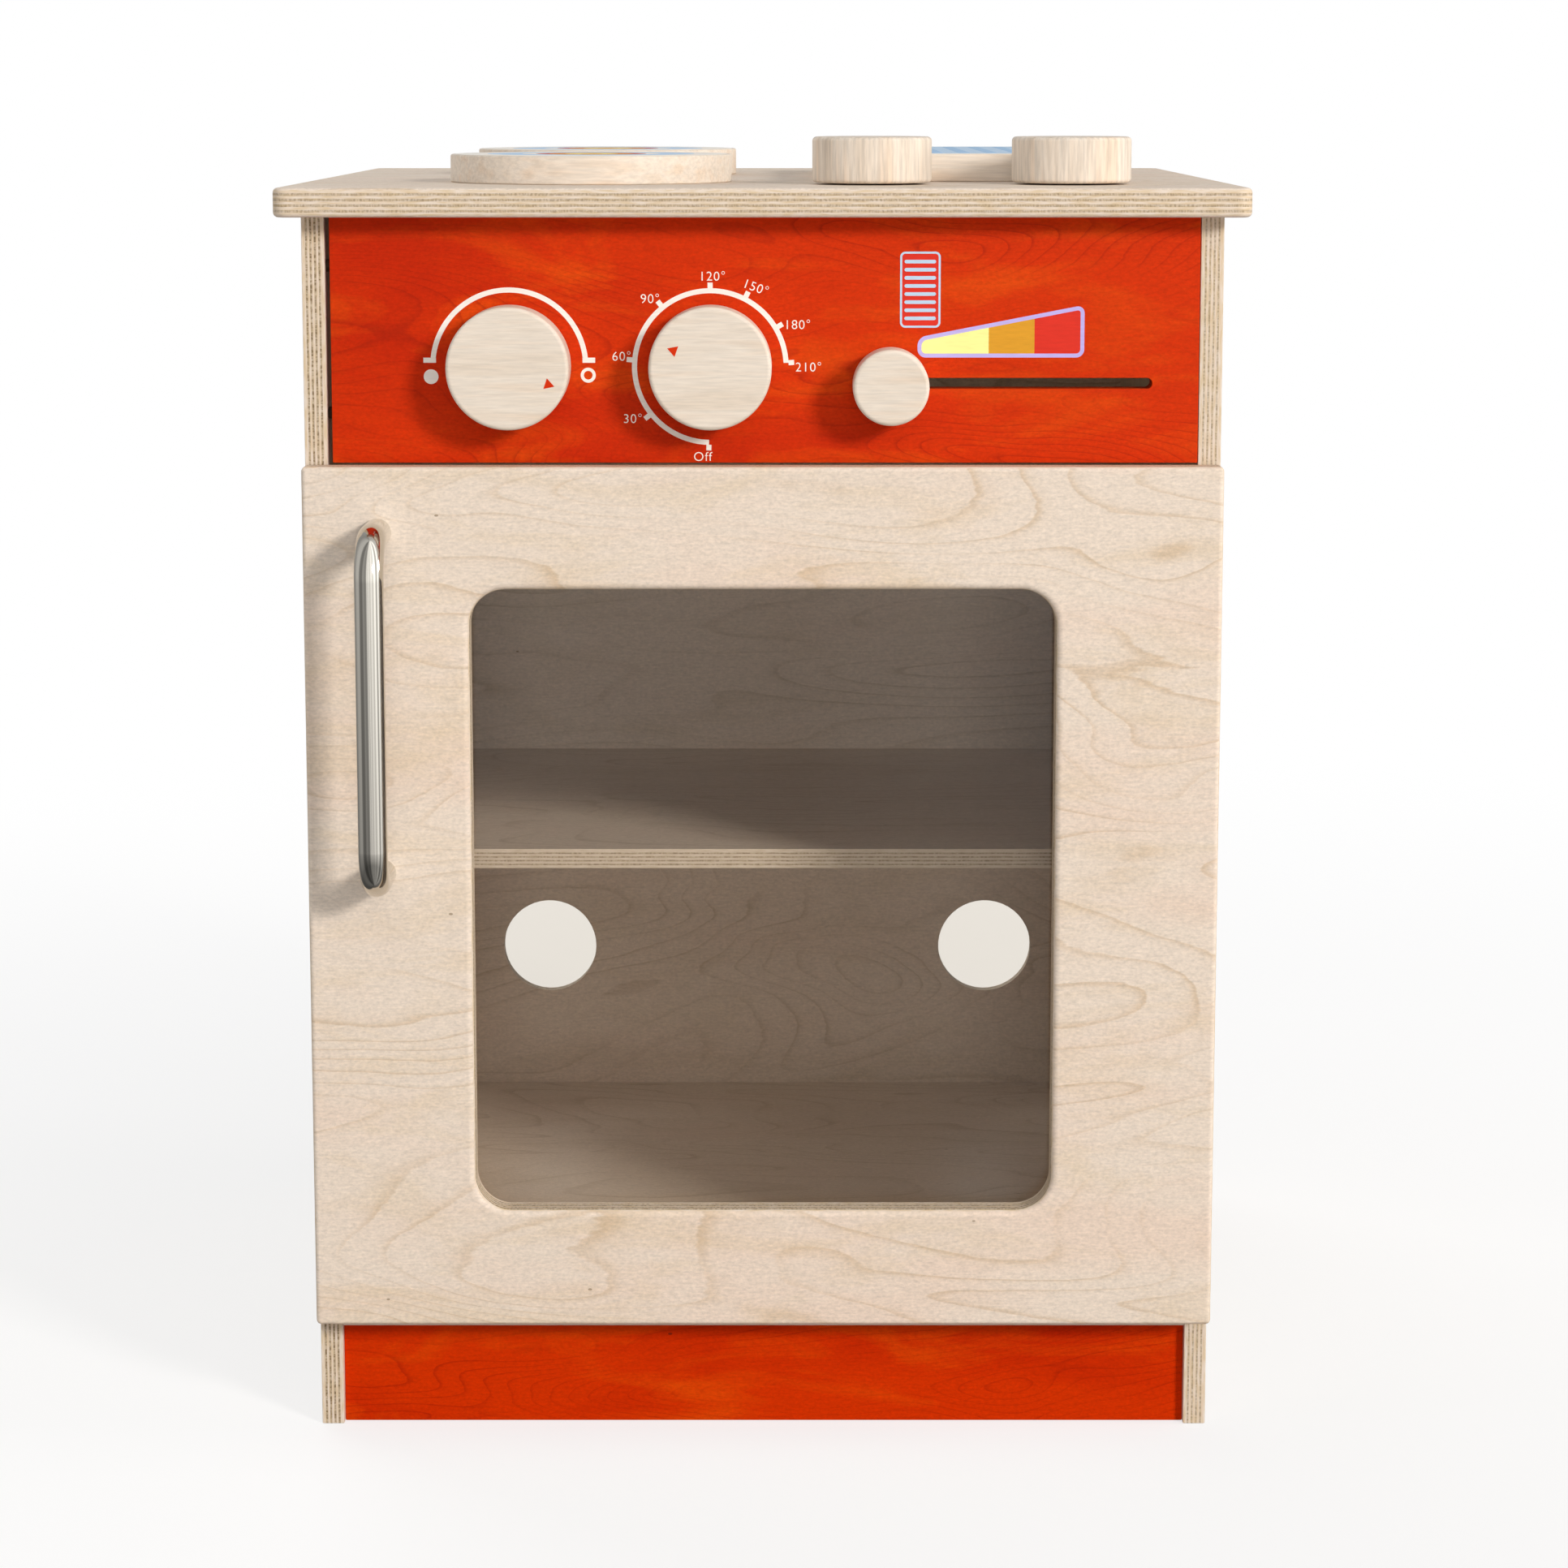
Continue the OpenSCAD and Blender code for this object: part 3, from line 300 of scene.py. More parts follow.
def moulded_plastic(name, code):
    """Injection-moulded plastic: a fine spark-eroded grain that breaks up the gloss"""
    material, tree = new_material(name)
    place = add(tree, "TexCoord").outputs["Object"]
    grain = add(tree, "TexNoise", {"Vector": place, "Scale": size_mm(0.35), "Detail": 2.0})
    rough = add(tree, "MapRange", {"Value": grain, "To Min": 0.38, "To Max": 0.62})
    bump = add(tree, "Bump", {"Height": grain, "Distance": 0.03 * MM, "Strength": 0.5})
    show(tree, add(tree, "BsdfPrincipled", {"Base Color": srgb(code), "Roughness": rough,
                                            "Normal": bump}))
    return material


def felt(name):
    """Pressed wool felt: matt, with short fibres that lie every way and a little sheen"""
    material, tree = new_material(name)
    place = add(tree, "TexCoord").outputs["Object"]
    hair = add(tree, "TexNoise", {"Vector": place, "Scale": size_mm(0.25), "Detail": 4.0,
                                  "Distortion": 2.0})
    colour = add(tree, "ValToRGB", {"Fac": hair},
                 stops=[(0.3, srgb("#4A423B")), (0.7, srgb("#7A7067"))])
    bump = add(tree, "Bump", {"Height": hair, "Distance": 0.1 * MM, "Strength": 0.8})
    show(tree, add(tree, "BsdfPrincipled", {"Base Color": colour, "Roughness": 0.95, "Normal": bump,
                                            "Sheen Weight": 0.3}))
    return material


# Modelling


def only(piece):
    """Leaves object mode as the current mode, with this piece alone selected"""
    if bpy.context.mode != "OBJECT":
        bpy.ops.object.mode_set(mode="OBJECT")
    bpy.ops.object.select_all(action="DESELECT")
    if piece:
        piece.select_set(True)
        bpy.context.view_layer.objects.active = piece


def named(name):
    """Names what an operator has just added, and puts its place into its mesh"""
    piece = bpy.context.object
    piece.name = piece.data.name = name
    bpy.ops.object.transform_apply(location=True, rotation=True, scale=True)
    return piece


def block(name, lo, hi):
    """A cube stretched between two corners"""
    only(None)
    lo, hi = Vector(lo), Vector(hi)
    bpy.ops.mesh.primitive_cube_add(size=1, location=(lo + hi) / 2, scale=hi - lo)
    return named(name)


def rod(name, start, end, radius, end_radius=None, sides=96):
    """A cylinder or cone between two points"""
    only(None)
    start, end = Vector(start), Vector(end)
    turn = (end - start).to_track_quat("Z", "Y").to_euler()
    bpy.ops.mesh.primitive_cone_add(vertices=sides, radius1=radius, location=(start + end) / 2,
                                    radius2=radius if end_radius is None else end_radius,
                                    depth=(end - start).length, rotation=turn)
    return named(name)


def choose(piece, kind, test):
    """Opens a piece for editing with only the edges or faces selected that pass a test"""
    only(piece)
    bpy.ops.object.mode_set(mode="EDIT")
    bpy.ops.mesh.select_mode(type=kind)
    bpy.ops.mesh.select_all(action="DESELECT")
    mesh = bmesh.from_edit_mesh(piece.data)
    for part in mesh.edges if kind == "EDGE" else mesh.faces:
        if test(part):
            part.select_set(True)
    bmesh.update_edit_mesh(piece.data)


def middle(part):
    """The middle of an edge or face"""
    return sum((v.co for v in part.verts), Vector()) / len(part.verts)


def runs(edge, axis):
    """True for an edge along an axis"""
    run = edge.verts[1].co - edge.verts[0].co
    return abs(run[axis]) > 0.999 * run.length


def sharp(edge):
    """True for an edge between faces that meet at over 50 degrees"""
    return len(edge.link_faces) == 2 and edge.calc_face_angle() > math.radians(50)


def at(value, place):
    """True within a thousandth of a millimetre"""
    return abs(value - place) < HAIR


def on_border(edge, lo, hi):
    """True for a sharp edge round the outside of an upright board"""
    spot = middle(edge)
    return sharp(edge) and any(at(spot[i], end[i]) for i in (X, Z) for end in (lo, hi))


def ease(piece, test, radius, steps):
    """Rounds the edges that pass a test"""
    choose(piece, "EDGE", test)
    bpy.ops.mesh.bevel(offset=radius, segments=steps, profile=0.5, affect="EDGES")
    bpy.ops.object.mode_set(mode="OBJECT")


def cut(piece, *tools):
    """Cuts the shapes of some tools out of a piece, and removes the tools"""
    for tool in tools:
        only(piece)
        knife = piece.modifiers.new("cut", "BOOLEAN")
        knife.object = tool
        knife.operation = "DIFFERENCE"
        knife.solver = "EXACT"
        bpy.ops.object.modifier_apply(modifier="cut")
        bpy.data.objects.remove(tool)


def finish(piece, body, slot, material, *nodes, angle=38):
    """Shades a piece, gives it its material and hangs it on its body"""
    only(piece)
    bpy.ops.object.shade_smooth_by_angle(angle=math.radians(angle))
    even = piece.modifiers.new("even", "WEIGHTED_NORMAL")
    even.keep_sharp = True
    bpy.ops.object.modifier_apply(modifier="even")
    if material:
        piece.data.materials.clear()
        piece.data.materials.append(material)
    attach(piece, body)
    if nodes:
        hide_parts(*nodes)
    return piece


def keep(material, *nodes):
    """Gives frame nodes that stay on show their material"""
    for node in nodes:
        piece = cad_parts[node]
        if not piece.material_slots:
            piece.data.materials.append(material)
        for slot in piece.material_slots:
            slot.link = "OBJECT"
            slot.material = material


# Carcass

EDGE_BREAK = 0.5 * MM        # sharp sawn edges are broken with sandpaper
WORKTOP_CORNER = 6.5 * MM
WORKTOP_EASE = 2.0 * MM
PLUG_RADIUS = 4.05 * MM
PLUG_DEPTH = 4.0 * MM
BOLT_RADIUS = 3.05 * MM
HOLE_SIDES = 40


def sawn_board(node, body, slot, material):
    """A plain board with its twelve edges broken"""
    piece = block(node + "_board", *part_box(node))
    ease(piece, sharp, EDGE_BREAK, 2)
    return finish(piece, body, slot, material, node)


def make_worktop():
    """Worktop with round corners, eased edges, and pockets for its plugs and knob bolts"""
    lo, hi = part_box("worktop")
    piece = block("worktop_board", lo, hi)
    ease(piece, lambda e: runs(e, Z), WORKTOP_CORNER, 8)
    ease(piece, lambda e: sharp(e) and not runs(e, Z), WORKTOP_EASE, 5)
    plug_lo, plug_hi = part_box("worktop_plugs")
    for x in (plug_lo.x + PLUG_RADIUS, plug_hi.x - PLUG_RADIUS):
        for y in (plug_lo.y + PLUG_RADIUS, plug_hi.y - PLUG_RADIUS):
            foot = Vector((x, y, hi.z - PLUG_DEPTH))
            head = foot + Vector((0, 0, PAST))
            cut(piece, rod("plug_pocket", foot, head, PLUG_RADIUS, sides=HOLE_SIDES))
    for knob in ("hob_knob_left", "hob_knob_right"):
        centre = sum(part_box(knob), Vector()) / 2
        foot = Vector((centre.x, centre.y, lo.z - PAST))
        head = foot + Vector((0, 0, 4 * PAST))
        cut(piece, rod("bolt_hole", foot, head, BOLT_RADIUS, sides=HOLE_SIDES))
    material = plywood("birch_plywood_worktop", "worktop", Z, X, BIRCH, 1, patch_strength=0.4,
                       contrast=0.7, gloss=0.03)
    return finish(piece, "carcass", "birch_plywood", material, "worktop")


SLOT_X = (50.1 * MM, 161.1 * MM)
SLOT_MID_Z = 448.3 * MM
SLOT_H = 4.5 * MM
SLOT_EASE = 0.3 * MM


def make_control_panel():
    """Red panel with the slider's slot and the two bores for the dial bolts"""
    lo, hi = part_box("control_panel")
    piece = block("control_panel_board", lo, hi)
    slot = block("slot_tool", (SLOT_X[0], lo.y - PAST, SLOT_MID_Z - SLOT_H / 2),
                 (SLOT_X[1], hi.y + PAST, SLOT_MID_Z + SLOT_H / 2))
    # A bevel of the full half height would leave edges of no length
    ease(slot, lambda e: runs(e, Y), SLOT_H / 2 * 0.999, 10)
    cut(piece, slot)
    for knob in ("power_knob", "temperature_knob"):
        centre = sum(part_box(knob), Vector()) / 2
        cut(piece, rod("bolt_hole", (centre.x, lo.y - PAST, centre.z),
                       (centre.x, hi.y + PAST, centre.z), BOLT_RADIUS, sides=HOLE_SIDES))
    ease(piece, lambda e: sharp(e) and at(middle(e).y, lo.y)
         and SLOT_X[0] - MM < middle(e).x < SLOT_X[1] + MM
         and abs(middle(e).z - SLOT_MID_Z) < SLOT_H, SLOT_EASE, 2)
    ease(piece, lambda e: on_border(e, lo, hi), EDGE_BREAK, 2)
    material = plywood("red_stained_plywood_panel", "control_panel", Y, X, RED, 5, rings=56,
                       line_strength=0.5, patch_strength=0.8)
    return finish(piece, "carcass", "red_stained_plywood", material, "control_panel")


HOB_EASE = 0.8 * MM
GRIDDLE_CORNER = 3.0 * MM


def make_hob_disc(node, seed):
    """Turned hob disc with a crisp rim"""
    lo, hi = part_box(node)
    centre = (lo + hi) / 2
    piece = rod(node + "_turned", (centre.x, centre.y, lo.z), (centre.x, centre.y, hi.z),
                (hi.x - lo.x) / 2, sides=128)
    ease(piece, sharp, HOB_EASE, 3)
    return finish(piece, "carcass", "printed_hob_disc", solid_birch("birch_" + node, X, seed), node)


def make_griddle():
    """Griddle plate with small round corners"""
    piece = block("griddle_board", *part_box("griddle_plate"))
    ease(piece, lambda e: runs(e, Z), GRIDDLE_CORNER, 6)
    ease(piece, lambda e: sharp(e) and not runs(e, Z), HOB_EASE, 3)
    return finish(piece, "carcass", "printed_griddle", solid_birch("birch_griddle", X, 9),
                  "griddle_plate")


# Door

DOOR_EASE = 2.0 * MM
WINDOW_MARGIN_X = 68.5 * MM
WINDOW_MARGIN_TOP = 51.0 * MM
WINDOW_MARGIN_BOTTOM = 50.3 * MM
WINDOW_CORNER = 15.0 * MM
WINDOW_EASE = 3.0 * MM


def make_door_panel():
    """Door board with its window opening, rounded in front"""
    lo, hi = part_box("door_panel")
    piece = block("door_board", lo, hi)
    opening = block("opening_tool",
                    (lo.x + WINDOW_MARGIN_X, lo.y - PAST, lo.z + WINDOW_MARGIN_BOTTOM),
                    (hi.x - WINDOW_MARGIN_X, hi.y + PAST, hi.z - WINDOW_MARGIN_TOP))
    ease(opening, lambda e: runs(e, Y), WINDOW_CORNER, 14)
    cut(piece, opening)
    # The window's front rim is every sharp front edge that isn't on the board's border
    ease(piece, lambda e: sharp(e) and at(middle(e).y, lo.y) and not on_border(e, lo, hi),
         WINDOW_EASE, 6)
    ease(piece, lambda e: on_border(e, lo, hi), DOOR_EASE, 5)
    material = plywood("birch_plywood_door", "door_panel", Y, X, BIRCH, 2)
    return finish(piece, "door", "birch_plywood", material, "door_panel")


BAR_RADIUS = 6.0 * MM
BAR_BEND = 16.0 * MM


def make_handle():
    """Bar handle bent from one rod: leg, bend, bar, bend, leg"""
    lo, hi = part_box("door_handle")
    x = (lo.x + hi.x) / 2
    top = hi.z - BAR_RADIUS
    bottom = lo.z + BAR_RADIUS
    leg = hi.y - lo.y - BAR_RADIUS - BAR_BEND
    only(None)
    bpy.ops.mesh.primitive_circle_add(vertices=48, radius=BAR_RADIUS, fill_type="NGON",
                                      location=(x, hi.y, top), rotation=(math.radians(90), 0, 0))
    piece = named("door_handle_bar")
    choose(piece, "FACE", lambda f: True)
    bpy.ops.mesh.extrude_region_move(TRANSFORM_OT_translate={"value": (0, -leg, 0)})
    bpy.ops.mesh.spin(steps=14, angle=math.radians(90), axis=(-1, 0, 0),
                      center=(x, hi.y - leg, top - BAR_BEND))
    bpy.ops.mesh.extrude_region_move(
        TRANSFORM_OT_translate={"value": (0, 0, bottom - top + 2 * BAR_BEND)})
    bpy.ops.mesh.spin(steps=14, angle=math.radians(90), axis=(-1, 0, 0),
                      center=(x, hi.y - leg, bottom + BAR_BEND))
    bpy.ops.mesh.extrude_region_move(TRANSFORM_OT_translate={"value": (0, leg, 0)})
    bpy.ops.mesh.select_all(action="SELECT")
    bpy.ops.mesh.remove_doubles(threshold=HAIR)
    bpy.ops.mesh.normals_make_consistent(inside=False)
    bpy.ops.object.mode_set(mode="OBJECT")
    return finish(piece, "door", "polished_steel",
                  metal("polished_stainless_steel", "#CBC6BC", 0.09, Z), "door_handle")


# Knobs

KNOB_EASE = 1.8 * MM
POINTER_SIDE = 4.6 * MM
# Each printed pointer: its angle on its knob, how far out it lies, and the angle of its tip
POWER_POINTER = (-20.7, 18.0 * MM, -18.4)
TEMPERATURE_POINTER = (153.2, 16.7 * MM, 160.6)


def make_knob(node, body, axis, material):
    """Turned knob with round rims"""
    lo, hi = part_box(node)
    centre = (lo + hi) / 2
    start, end = centre.copy(), centre.copy()
    start[axis], end[axis] = (hi[axis], lo[axis]) if axis == Y else (lo[axis], hi[axis])
    piece = rod(node + "_turned", start, end, (hi.x - lo.x) / 2)
    ease(piece, sharp, KNOB_EASE, 7)
    return finish(piece, body, "birch", material, node, angle=30)


def outwards(angle):
    """The way from a dial's centre at an angle, counted from the right"""
    turned = math.radians(angle)
    return Vector((math.cos(turned), 0, math.sin(turned)))


def make_pointer(node, body, angle, reach, tip, material):
    """Printed triangle on a dial knob, at an angle and a reach from its axis, tip at its own angle"""
    lo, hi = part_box(node)
    centre = (lo + hi) / 2
    only(None)
    bpy.ops.mesh.primitive_circle_add(vertices=3, radius=POINTER_SIDE / math.sqrt(3),
                                      fill_type="NGON")
    place = Vector((centre.x, lo.y, centre.z)) + outwards(angle) * reach
    # The circle's first corner points up, so that it takes a turn from there to the tip's angle
    piece = stand(node + "_pointer", bpy.context.object, place, 90 - tip)
    return print_on(piece, body, "birch", [material])


# Prints on the panel


def print_on(piece, body, slot, materials, direction=(0, -1, 0)):
    """Gives a flat print its thickness, standing off the surface that it lies on"""
    only(piece)
    bpy.ops.object.mode_set(mode="EDIT")
    bpy.ops.mesh.select_all(action="SELECT")
    rise = tuple(INK * part for part in direction)
    bpy.ops.mesh.extrude_region_move(TRANSFORM_OT_translate={"value": rise})
    bpy.ops.mesh.select_all(action="SELECT")
    bpy.ops.mesh.normals_make_consistent(inside=False)
    bpy.ops.object.mode_set(mode="OBJECT")
    if len(piece.data.materials) == 0:
        for material in materials:
            piece.data.materials.append(material)
    return finish(piece, body, slot, None)


def flat(width, depth):
    """A flat rectangle round the origin, facing up"""
    only(None)
    bpy.ops.mesh.primitive_plane_add(size=1)
    piece = bpy.context.object
    piece.scale = (width, depth, 1)
    bpy.ops.object.transform_apply(scale=True)
    return piece


def stand(name, piece, centre, turn=0):
    """Stands a flat shape up against the panel at a point, turned clockwise by some degrees"""
    piece.rotation_euler = (math.radians(90), math.radians(turn), 0)
    piece.location = centre
    return named(name)


def upright(name, x0, x1, z0, z1, y):
    """A flat rectangle that faces the front"""
    return stand(name, flat(x1 - x0, z1 - z0), ((x0 + x1) / 2, y, (z0 + z1) / 2))


def round_corners(piece, radius, steps=8):
    """Rounds the corners of a flat shape"""
    only(piece)
    bpy.ops.object.mode_set(mode="EDIT")
    bpy.ops.mesh.select_all(action="SELECT")
    bpy.ops.mesh.bevel(offset=radius, segments=steps, affect="VERTICES")
    bpy.ops.object.mode_set(mode="OBJECT")


def outline(piece, width):
    """Splits a flat shape into a line round its edge, material 0, and its middle, material 1"""
    choose(piece, "FACE", lambda f: True)
    bpy.ops.mesh.inset(thickness=width)
    mesh = bmesh.from_edit_mesh(piece.data)
    for face in mesh.faces:
        face.material_index = 1 if face.select else 0
    bmesh.update_edit_mesh(piece.data)
    bpy.ops.object.mode_set(mode="OBJECT")


SLIVER = 0.02 * MM           # the strip that is spun into an arc is this thin


def arc(name, centre, radius, width, start, end, steps=48):
    """A flat band on the panel round a centre, from one angle to another"""
    piece = flat(width, SLIVER)
    piece.location = (radius - width / 2, 0, 0)
    bpy.ops.object.transform_apply(location=True)
    choose(piece, "EDGE", lambda e: middle(e).y > SLIVER / 4)
    bpy.ops.mesh.spin(steps=steps, angle=math.radians(end - start), axis=(0, 0, -1), center=(0, 0, 0))
    bpy.ops.mesh.select_all(action="SELECT")
    bpy.ops.mesh.remove_doubles(threshold=HAIR)
    bpy.ops.object.mode_set(mode="OBJECT")
    return stand(name, piece, centre, -start)


def joined(name, pieces):
    """Joins flat prints into one piece"""
    only(pieces[0])
    for piece in pieces:
        piece.select_set(True)
    bpy.ops.object.join()
    piece = bpy.context.object
    piece.name = piece.data.name = name
    return piece


def bar_at(name, centre, angle, r0, r1, width):
    """A flat bar that points away from a dial's centre, between two radii"""
    return stand(name, flat(r1 - r0, width), centre + outwards(angle) * (r0 + r1) / 2, -angle)


CAPITAL_SHARE = 0.72         # height of a capital letter, as a share of the font's size
THINNER = 0.03 * MM          # what the letters' strokes lose on each side


def label(name, words, centre, height, turn=0):
    """Flat text on the panel, centred on a point and turned clockwise by some degrees"""
    only(None)
    bpy.ops.object.text_add()
    piece = bpy.context.object
    piece.data.body = words
    piece.data.size = height / CAPITAL_SHARE
    piece.data.align_x = "CENTER"
    piece.data.align_y = "CENTER"
    piece.data.resolution_u = 5
    piece.data.offset = -THINNER
    piece.data.space_character = 1.1
    bpy.ops.object.convert(target="MESH")
    return stand(name, bpy.context.object, centre, turn)


def disc(name, centre, radius, sides=40):
    """A flat round dot on the panel"""
    only(None)
    bpy.ops.mesh.primitive_circle_add(vertices=sides, radius=radius, fill_type="NGON",
                                      location=centre, rotation=(math.radians(90), 0, 0))
    return named(name)


LINE = 2.1 * MM
WORD_H = 3.9 * MM
DIAL_Z = 455.2 * MM
POWER_DIAL_X = -104.8 * MM
POWER_RADIUS = 32.7 * MM
POWER_ARC = (6.7, 173.3)
POWER_FEET = (30.3 * MM, 35.5 * MM)
POWER_FEET_RISE = 2.7 * MM
POWER_DOT = Vector((-32.4, 0, -4.1)) * MM
POWER_DOT_RADIUS = 3.05 * MM
POWER_RING = Vector((32.6, 0, -3.5)) * MM
POWER_RING_RADIUS = 3.1 * MM
POWER_RING_LINE = 1.3 * MM
TEMPERATURE_DIAL_X = -21.7 * MM
TEMPERATURE_RADIUS = 32.4 * MM
TEMPERATURE_ARC = (3.0, 268.8)
TICK = 2.3 * MM
# Words of the temperature dial: text, its tick's angle, its own angle, its radius in mm, its turn
DIAL_WORDS = [
    ("30°", 218.5, 214.0, 38.8, 0), ("60°", 175.0, 173.6, 36.9, 0),
    ("90°", 128.7, 131.7, 37.3, 0), ("120°", 90.0, 88.6, 37.1, 0),
    ("150°", 63.0, 60.0, 37.6, 20), ("180°", 30.6, 25.5, 39.9, 0),
    ("210°", 3.0, -0.5, 40.6, 0), ("Off", 268.8, 265.0, 37.6, 0),
]


def make_dial_prints(face_y, white):
    """White dials: an arc between an empty and a full dot, and a scale of temperatures"""
    centre = Vector((POWER_DIAL_X, face_y, DIAL_Z))
    foot_z = DIAL_Z + POWER_FEET_RISE
    parts = [arc("power_arc", centre, POWER_RADIUS, LINE, *POWER_ARC)]
    for side in (-1, 1):
        ends = sorted(centre.x + side * end for end in POWER_FEET)
        parts.append(upright("power_foot", *ends, foot_z - LINE / 2, foot_z + LINE / 2, face_y))
    parts.append(disc("power_dot", centre + POWER_DOT, POWER_DOT_RADIUS))
    parts.append(arc("power_ring", centre + POWER_RING, POWER_RING_RADIUS, POWER_RING_LINE, 0, 360))
    print_on(joined("power_dial_print", parts), "carcass", "red_stained_plywood", [white])
    centre = Vector((TEMPERATURE_DIAL_X, face_y, DIAL_Z))
    radius = TEMPERATURE_RADIUS
    parts = [arc("temperature_arc", centre, radius, LINE, *TEMPERATURE_ARC, steps=80)]
    for words, tick, angle, reach, turn in DIAL_WORDS:
        # Each tick starts just inside the arc's outer edge, so that the two leave no gap
        parts.append(bar_at("tick", centre, tick, radius - SLIVER, radius + TICK, LINE))
        parts.append(label("word", words, centre + outwards(angle) * reach * MM, WORD_H, turn))
    print_on(joined("temperature_dial_print", parts), "carcass", "red_stained_plywood", [white])


SIGN_X = (56.6 * MM, 73.3 * MM)
SIGN_Z = (471.3 * MM, 502.6 * MM)
SIGN_CORNER = 2.2 * MM
SIGN_LINE = 0.85 * MM
BARS = 8
BARS_X = (58.4 * MM, 71.4 * MM)
BARS_TOP_Z = 498.5 * MM
BAR_PITCH = 3.33 * MM
BAR_H = 1.5 * MM
BAR_CORNER = 0.74 * MM
WEDGE_X = (63.9 * MM, 132.8 * MM)
WEDGE_Z = (459.0 * MM, 480.7 * MM)
WEDGE_LOW_END = 8.3 * MM
WEDGE_CORNER = 3.4 * MM
WEDGE_LINE = 1.65 * MM
WEDGE_SPLITS = (93.3 * MM, 112.2 * MM)


def make_icon_prints(face_y, blue, red, lilac, yellow, orange):
    """A barred heating sign, and a wedge in three colours that stands for rising heat"""
    sign = upright("heating_sign_print", *SIGN_X, *SIGN_Z, face_y)
    round_corners(sign, SIGN_CORNER)
    outline(sign, SIGN_LINE)
    for material in (blue, red):
        sign.data.materials.append(material)
    print_on(sign, "carcass", "red_stained_plywood", [])
    bars = []
    for i in range(BARS):
        z = BARS_TOP_Z - i * BAR_PITCH
        bar = upright("bar", *BARS_X, z - BAR_H / 2, z + BAR_H / 2, face_y - INK)
        round_corners(bar, BAR_CORNER, 5)
        bars.append(bar)
    print_on(joined("heating_bars_print", bars), "carcass", "red_stained_plywood", [blue])
    wedge = upright("heat_wedge_print", *WEDGE_X, *WEDGE_Z, face_y)
    for corner in wedge.data.vertices:
        if corner.co.x < WEDGE_X[0] + MM and corner.co.z > WEDGE_Z[1] - MM:
            corner.co.z = WEDGE_Z[0] + WEDGE_LOW_END
    round_corners(wedge, WEDGE_CORNER, 10)
    outline(wedge, WEDGE_LINE)
    for x in WEDGE_SPLITS:
        choose(wedge, "FACE", lambda f: f.material_index == 1)
        bpy.ops.mesh.bisect(plane_co=(x, 0, 0), plane_no=(1, 0, 0))
        bpy.ops.object.mode_set(mode="OBJECT")
    for face in wedge.data.polygons:
        if face.material_index == 1:
            face.material_index = 1 + sum(face.center.x > x for x in WEDGE_SPLITS)
    for material in (lilac, yellow, orange, red):
        wedge.data.materials.append(material)
    print_on(wedge, "carcass", "red_stained_plywood", [])


HOB_RINGS = (59.0, 45.0, 30.0, 24.0, 18.5, 11.5, 5.0)       # outer radii in mm


def make_hob_print(node, inks):
    """Rings of heat printed on a hob disc, pale outside and yellow in the middle"""
    lo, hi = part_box(node)
    centre = (lo + hi) / 2
    only(None)
    bpy.ops.mesh.primitive_circle_add(vertices=96, radius=HOB_RINGS[0] * MM, fill_type="NGON",
                                      location=(centre.x, centre.y, hi.z))
    piece = named(node + "_print")
    for outer, inner in zip(HOB_RINGS, HOB_RINGS[1:]):
        # The one face with over four corners is the disc that is left in the middle
        choose(piece, "FACE", lambda f: len(f.verts) > 4)
        bpy.ops.mesh.inset(thickness=(outer - inner) * MM)
        bpy.ops.object.mode_set(mode="OBJECT")
    for face in piece.data.polygons:
        r = max((piece.data.vertices[i].co.xy - centre.xy).length for i in face.vertices) / MM
        face.material_index = sum(r < ring + 0.5 for ring in HOB_RINGS[1:])
    for material in inks:
        piece.data.materials.append(material)
    return print_on(piece, "carcass", "printed_hob_disc", [], (0, 0, 1))


BARE_RIM = 1.6 * MM
WHITE_BORDER = 3 * MM
RIBS = 9
RIB_PITCH = 12 * MM
RIB_W = 5 * MM
RIB_CORNER = 2.4 * MM
RIB_END = 18 * MM            # from a rib's end to the plate's edge


def make_griddle_print(white, blue, deep_blue):
    """Pale blue griddle with a white border and straight ribs"""
    lo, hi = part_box("griddle_plate")
    field = flat(hi.x - lo.x - 2 * BARE_RIM, hi.y - lo.y - 2 * BARE_RIM)
    field.location = ((lo.x + hi.x) / 2, (lo.y + hi.y) / 2, hi.z)
    field = named("griddle_print")
    round_corners(field, GRIDDLE_CORNER, 6)
    outline(field, WHITE_BORDER)
    for material in (white, blue):
        field.data.materials.append(material)
    print_on(field, "carcass", "printed_griddle", [], (0, 0, 1))
    ribs = []
    for i in range(RIBS):
        rib = flat(RIB_W, hi.y - lo.y - 2 * RIB_END)
        rib.location = ((lo.x + hi.x) / 2 + (i - (RIBS - 1) / 2) * RIB_PITCH, (lo.y + hi.y) / 2,
                        hi.z + INK)
        rib = named("rib")
        round_corners(rib, RIB_CORNER, 6)
        ribs.append(rib)
    print_on(joined("griddle_ribs_print", ribs), "carcass", "printed_griddle", [deep_blue], (0, 0, 1))


# Photograph's view

CAMERA_PLACE = (8.76 * MM, -1733 * MM, 568.3 * MM)
CAMERA_LEAN = 8.29           # degrees downwards
CAMERA_SHIFT = -0.09         # the rest of the way down, as a share of the picture's side
LENS_MM = 87.07              # on a 36 mm sensor


def make_camera():
    """The photograph's place: a little above the top knobs, and 1.5 m in front of the door"""
    only(None)
    bpy.ops.object.camera_add(location=CAMERA_PLACE, rotation=(math.radians(90 - CAMERA_LEAN), 0, 0))
    camera = bpy.context.object
    camera.data.sensor_width = 36
    camera.data.lens = LENS_MM
    camera.data.shift_y = CAMERA_SHIFT
    camera.data.clip_end = 100
    bpy.context.scene.camera = camera


